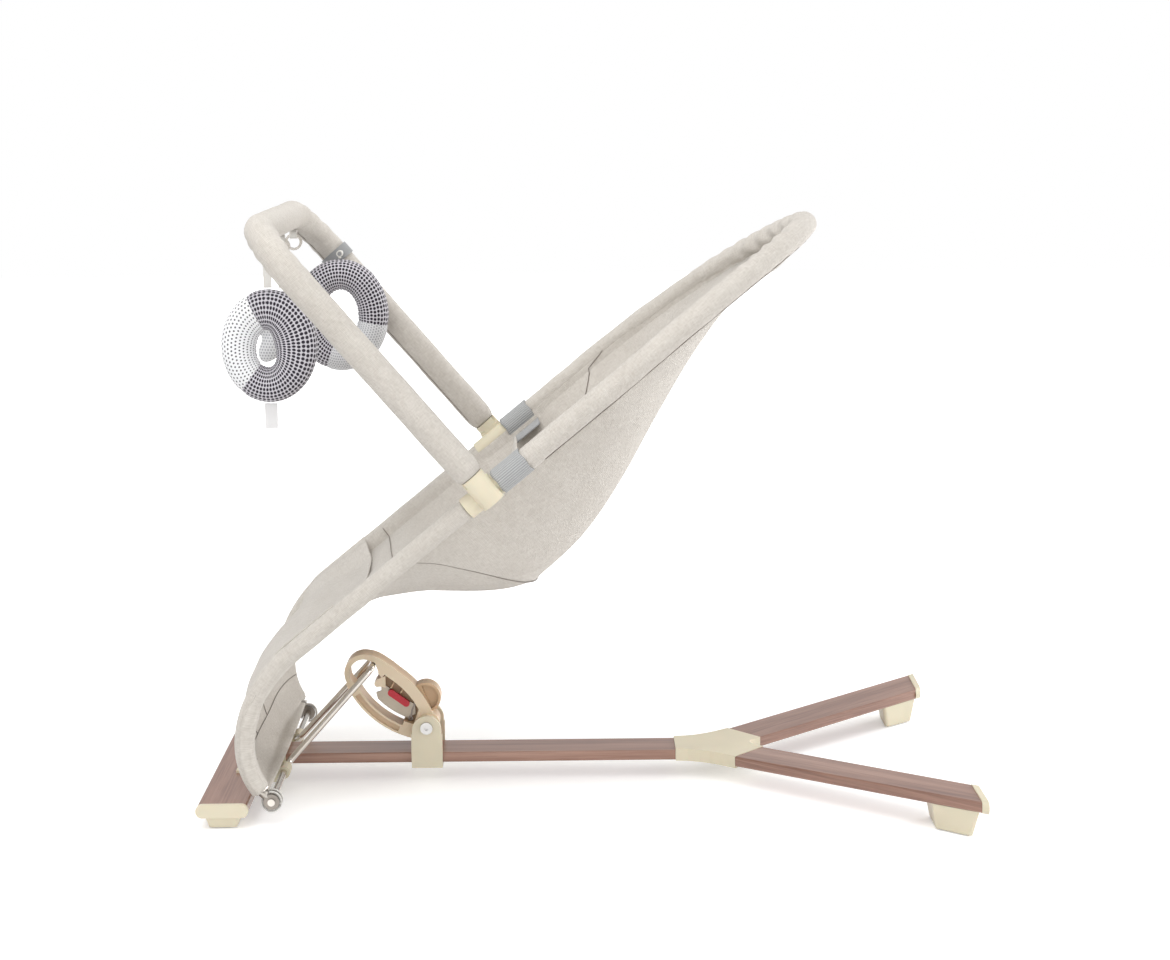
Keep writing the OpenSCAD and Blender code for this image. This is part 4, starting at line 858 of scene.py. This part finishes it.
across = [2 * k - 1 for k in spread(60)]
cover_seams = [
    [hammock_surface(bag_seam_s(v * 0.99), v * 0.99, -0.0021) for v in across],
    [hammock_surface(first_row + 0.036, v * 1.2, 0.0005) for v in across],
]
for near in (-1, 1):
    cover_seams.append([seat_point(s, near * (rail_y(s) + 0.0046), dip(s) - 0.0113)
                        for s in (mix(0.32, 0.655, k) for k in spread(90))])
    cover_seams.append([hammock_surface(mix(0.30, 0.41, k), near * mix(0.82, 1.12, k * k), 0.0006)
                        for k in spread(40)])
seat_seams = seam("seat_seams", cover_seams, 0.0006)
panel_seams = []
for near in (-1, 1):
    panel_seams.append([panel_point(mix(0.26, 0.86, k), near * mix(0.20, 0.42, k), -0.0014)
                        for k in spread(30)])
    panel_seams.append([panel_point(mix(0.14, 0.80, k), near * 0.995, -0.0004) for k in spread(40)])
panel_seams.append([panel_point(0.26 + 0.05 * v * v, v * 0.93, -0.0014) for v in across])
foot_seams = seam("foot_seams", panel_seams, 0.00045)
loops = []
loop_r, loop_lean, loop_step = 0.0096, 0.0015, 0.0045
for near, place in ((-1, toe_half - loop_step), (-1, toe_half + loop_step), (1, toe_half - loop_step)):
    loops.append([pivot + Vector((loop_r * math.cos(a), near * place + loop_lean * math.sin(a),
                                  loop_r * math.sin(a))) for a in (2 * math.pi * k for k in spread(36))])
elastic = seam("elastic_loops", loops, 0.0011, edge_tape)
for piece in (seat_seams, foot_seams, elastic):
    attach(piece, "seat")
print("seam lines:", len(cover_seams) + len(panel_seams))

# %% [markdown]
# ## Webbing straps
# Grey ribbed webbing wraps each rail just above its socket. A strap is a flat strip that follows
# a path round the sleeve, with the tail folded in towards the restraint panel. It is left
# unsmoothed, because webbing keeps a crisp edge.

# %% Straps
strap_width = 0.036

def strap_piece(name, side):
    round_r, tail_in, tail_down = 0.0127, 0.020, 0.0125
    path = [(side * (rail_half - tail_in - 0.004 * k), -tail_down - 0.0012 * k) for k in (3, 2, 1, 0)]
    for k in range(49):
        angle = math.radians(-150 + 300 * k / 48)
        path.append((side * (rail_half + round_r * math.sin(angle)), round_r * math.cos(angle)))
    rows = [[seat_point(strap_start + strap_width * k / 12 + 0.0006 * math.sin(0.5 * i), y, n)
             for k in range(13)] for i, (y, n) in enumerate(path)]
    outward = rows if side > 0 else [row[::-1] for row in rows]  # so that the thickness goes outward
    piece = cloth_sheet(name, outward, grey_webbing, 0.0014, 1, smooth=False)
    hung_sheet(rows)
    return piece

for name, side in (("left", 1), ("right", -1)):
    webbing = strap_piece("webbing_" + name, side)
    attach(webbing, "seat")
    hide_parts("strap_" + name)
print("webbing width", strap_width)

# %% [markdown]
# ## Toy bar cover
# A foam sleeve covers the hooped tube. On the straight arms the cloth lies smooth. Round the two
# corners it is too long on the inside, so it crumples into short folds there. The path is made
# first, and then the same sleeve helper, with a radius that wrinkles only at the corners.

# %% Toy bar path and radius
lean = math.radians(1.4)  # the arms lean this much more than square to the rails
arm_way = Vector((math.cos(math.pi / 2 + slope + lean), 0, math.sin(math.pi / 2 + slope + lean)))
arm_base = seat_point(arm_station, 0, 0)
arm_half, arm_foot, arm_length, arm_corner = 0.194, 0.0225, 0.316, 0.060
arm_top = arm_foot + arm_length
arm_straight = arm_top - arm_corner - arm_foot
bar_cover_r, bar_lining_r, bar_step = 0.0153, 0.0114, 0.0045

def on_arm(up, y):
    return arm_base + up * arm_way + Vector((0, y, 0))

half_arm = [on_arm(arm_foot + 0.0004, arm_half)]
for k in range(21):
    a = math.pi * k / 40
    half_arm.append(on_arm(arm_top - arm_corner + arm_corner * math.sin(a),
                           arm_half - arm_corner * (1 - math.cos(a))))
arm_path = along_path(half_arm + [mirrored(p) for p in half_arm[::-1]], bar_step)
arm_count = len(arm_path) - 1
bar_length = 2 * arm_straight + math.pi * arm_corner + 2 * (arm_half - arm_corner)
corner_run = (arm_straight + arm_corner * math.pi / 4) / bar_length
arm_normal = arm_way.cross(Vector((0, 1, 0)))

def arm_radius(i, angle):
    run = i / arm_count
    corner_width = 0.042
    corner = math.exp(-((min(run, 1 - run) - corner_run) / corner_width) ** 2)
    inside = 0.5 + 0.5 * math.cos(angle - (math.pi if run < 0.5 else 0))
    folds = 0.0013 * corner * math.sin(i * 1.5 + 2.2 * math.sin(angle + 0.5))
    soft = 0.0005 * noise.noise(Vector((run * 30, math.cos(angle) * 1.3, math.sin(angle) * 1.3)))
    ends = 0.0030 * math.exp(-min(i, arm_count - i) / 0.9)
    return bar_cover_r + folds * (0.35 + 0.65 * inside) + soft - ends

print("corners at", round(corner_run, 3), "of the way from each end")

# %% Toy bar cover and its seam
bar_cover = sleeve("toy_bar_cover", arm_path, arm_radius, bar_lining_r, arm_normal, oatmeal, 30)
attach(bar_cover, "toy_bar")
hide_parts("toy_bar_sleeve")
arm_side = Vector((0, 1, 0)).cross(arm_way)
middle = on_arm(arm_top - 0.1, 0)

def inward(i):
    u = ring_frame(arm_path, i, arm_normal)[0]
    return u if u.dot(middle - arm_path[i]) > 0 else -u

arm_sleeve_r = 0.0155
inner_line = [arm_path[i] + arm_sleeve_r * (0.62 * inward(i) - 0.78 * arm_side)
              for i in range(3, arm_count - 2)]
bar_seam = seam("toy_bar_seam", [inner_line], 0.0005)
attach(bar_seam, "toy_bar")
print("toy bar cover rings:", arm_count + 1)

# %% [markdown]
# ## Plush rings
# Each ring is sewn from tubes of cotton and stuffed. It is modelled as a slightly thin ring and
# blown up with cloth pressure, which puckers the seams and fills the body, then held to a few
# millimetres from its pattern so that it keeps its size. A torus alone would look like rubber.

# %% Stuffing
def stuffed(piece, pressure, furthest):
    """Blow the piece up for a few frames; no point ends up further than furthest from its start."""
    before = [v.co.copy() for v in piece.data.vertices]
    cloth = piece.modifiers.new("stuffing", "CLOTH")
    cloth.settings.quality = 5
    cloth.settings.mass = 0.15
    cloth.settings.tension_stiffness = 12
    cloth.settings.compression_stiffness = 12
    cloth.settings.bending_stiffness = 0.3
    cloth.settings.use_pressure = True
    cloth.settings.uniform_pressure_force = pressure
    cloth.settings.effector_weights.gravity = 0
    scene = bpy.context.scene
    frames = 20
    for step in range(1, frames + 1):
        scene.frame_set(step)
    applied(piece, cloth)
    scene.frame_set(1)
    for vertex, start in zip(piece.data.vertices, before):
        move = vertex.co - start
        if move.length > furthest:
            vertex.co = start + move * (furthest / move.length)

print("stuffing is", "simulated")

# %% Ring pattern
def plush_ring(name, centre, width, height, tube, finishes, seams_at, swell=(0, 0, 0)):
    """The cloth between the two seams, which are angles in degrees, has the second finish."""
    turns, sides = 96, 30
    points, faces = [], []
    r = tube / 2
    around = math.pi * (width + height) / 2 - math.pi * tube
    low, high = (math.radians(d) for d in seams_at)
    for i in range(turns):
        a = 2 * math.pi * i / turns
        off_seams = [(a - at + math.pi) % (2 * math.pi) - math.pi for at in (low, high)]
        pinch = 1 - 0.07 * sum(math.exp(-(off / 0.05) ** 2) for off in off_seams)
        full = r + swell[0] + swell[1] * math.cos(a) + swell[2] * math.sin(a)
        for k in range(sides):
            b = 2 * math.pi * k / sides
            pucker = 0.0009 * math.sin(a * 34) * max(0, -math.cos(b)) ** 2
            out = (full * 0.95 * pinch + pucker) * math.cos(b)
            points.append(Vector(centre) + Vector(((width / 2 - full + out) * math.sin(a),
                                                   r * 0.93 * pinch * math.sin(b),
                                                   (height / 2 - full + out) * math.cos(a))))
    for i in range(turns):
        for k in range(sides):
            n, m = (i + 1) % turns, (k + 1) % sides
            faces.append((i * sides + k, i * sides + m, n * sides + m, n * sides + k))
    def uv(face, key):
        turn = turns if key < sides and face // sides == turns - 1 else key // sides
        side = sides if key % sides == 0 and face % sides == sides - 1 else key % sides
        return (around * 1.25 * turn / turns, 2 * math.pi * r * side / sides)
    def finish_of(face):
        return 1 if low < 2 * math.pi * (face // sides + 0.5) / turns < high else 0
    piece = mesh_piece(name, points, faces, uv, finishes, finish_of)
    stuffed(piece, 4.0, 0.004)
    return applied(piece, soften(piece))

print("ring pattern ready")

# %% Near and far rings
cross_at = on_arm(arm_top, 0)
ring_width, ring_height, ring_tube = 0.100, 0.117, 0.036
near_y, near_drop = -0.092, 0.120
near_centre = Vector((cross_at.x, near_y, cross_at.z - near_drop))
near_ring = plush_ring("near_plush_ring", near_centre, ring_width, ring_height, ring_tube,
                       [dark_grid, white_dots], (216, 334), (0.0026, 0.0015, 0.0018))
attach(near_ring, "near_ring")
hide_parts("near_ring_toy")

far_share = 1.08  # the far ring is this much larger
far_height = far_share * ring_height
far_gap, far_up, far_out, far_drop = 0.004, 0.250, 0.0085, 0.005
far_y = arm_half - arm_sleeve_r - ring_tube / 2 - far_gap
far_roll = on_arm(arm_foot + far_up, 0) + far_out * arm_side
far_centre = Vector((far_roll.x, far_y, far_roll.z - far_drop - far_height / 2))
far_ring = plush_ring("far_plush_ring", far_centre, far_share * ring_width, far_height, ring_tube,
                      [dark_grid, mesh_grey], (100, 200))
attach(far_ring, "far_ring")
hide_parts("far_ring_toy")
print("rings at", [round(c, 3) for c in near_centre], [round(c, 3) for c in far_centre])

# %% [markdown]
# ## Star toy
# A plain five-pointed pillow: two star panels sewn at the edge and stuffed, fattest in the middle.
# Each panel is a fan of rings round the centre. The two share their edge once close points are
# merged, so the pillow is closed and can be blown up.

# %% Star toy
star_y, star_drop = 0.032, 0.116
star_centre = Vector((cross_at.x, star_y, cross_at.z - star_drop))

def star_edge(angle):
    """The outline's distance from the centre: it swings between a point and a notch every 36 degrees."""
    step = (angle - math.pi / 2) / math.radians(36)
    k = math.floor(step)
    point_r, notch_r = 0.043, 0.026
    start, end = (point_r, notch_r) if k % 2 == 0 else (notch_r, point_r)
    return mix(start, end, 0.5 - 0.5 * math.cos(math.pi * (step - k)))

star_turns, star_rings, star_half_depth = 80, 12, 0.0135
points, faces, keys = [], [], []
for face_side in (-1, 1):
    points.append(star_centre + Vector((0, face_side * star_half_depth, 0)))
    keys.append((0, 0))
    for ring_number in range(1, star_rings + 1):
        f = ring_number / star_rings
        for k in range(star_turns):
            a = 2 * math.pi * k / star_turns
            edge = star_edge(a) * f
            puff = star_half_depth * (1 - f ** 2.2) ** 0.6
            flat = (edge * math.cos(a), edge * math.sin(a))
            points.append(star_centre + Vector((flat[0], face_side * puff, flat[1])))
            keys.append(flat)
half_size = 1 + star_rings * star_turns
for face_side, start in ((-1, 0), (1, half_size)):
    at = lambda ring_number, k: start + 1 + (ring_number - 1) * star_turns + k % star_turns
    for k in range(star_turns):
        loop = (start, at(1, k), at(1, k + 1))
        faces.append(loop if face_side < 0 else loop[::-1])
        for ring_number in range(1, star_rings):
            loop = (at(ring_number, k), at(ring_number + 1, k),
                    at(ring_number + 1, k + 1), at(ring_number, k + 1))
            faces.append(loop if face_side < 0 else loop[::-1])
star = mesh_piece("star_plush", points, faces, lambda face, key: keys[key], [mesh_grey])
merge = bmesh.new()
merge.from_mesh(star.data)
bmesh.ops.remove_doubles(merge, verts=merge.verts, dist=0.0003)
bmesh.ops.recalc_face_normals(merge, faces=merge.faces)
merge.to_mesh(star.data)
merge.free()
stuffed(star, 3.0, 0.003)
applied(star, soften(star))
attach(star, "star")
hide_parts("star_toy")
print("star polygons:", len(star.data.polygons))

# %% [markdown]
# ## Toy tabs, straps and the bare tag
# These small flat pieces have their right form from CAD already, so they only take a woven
# finish: pale tape for what hangs, a bare tape for the tag, and grey webbing round the arm.

# %% Toy tabs, straps and the bare tag
give(edge_tape, "ring_tabs", "near_ring_strap", "star_strap", "far_ring_strap")
give(label_tape, "near_ring_tag")
give(grey_webbing, "far_arm_loop")
print("tabs, straps and tag finished")
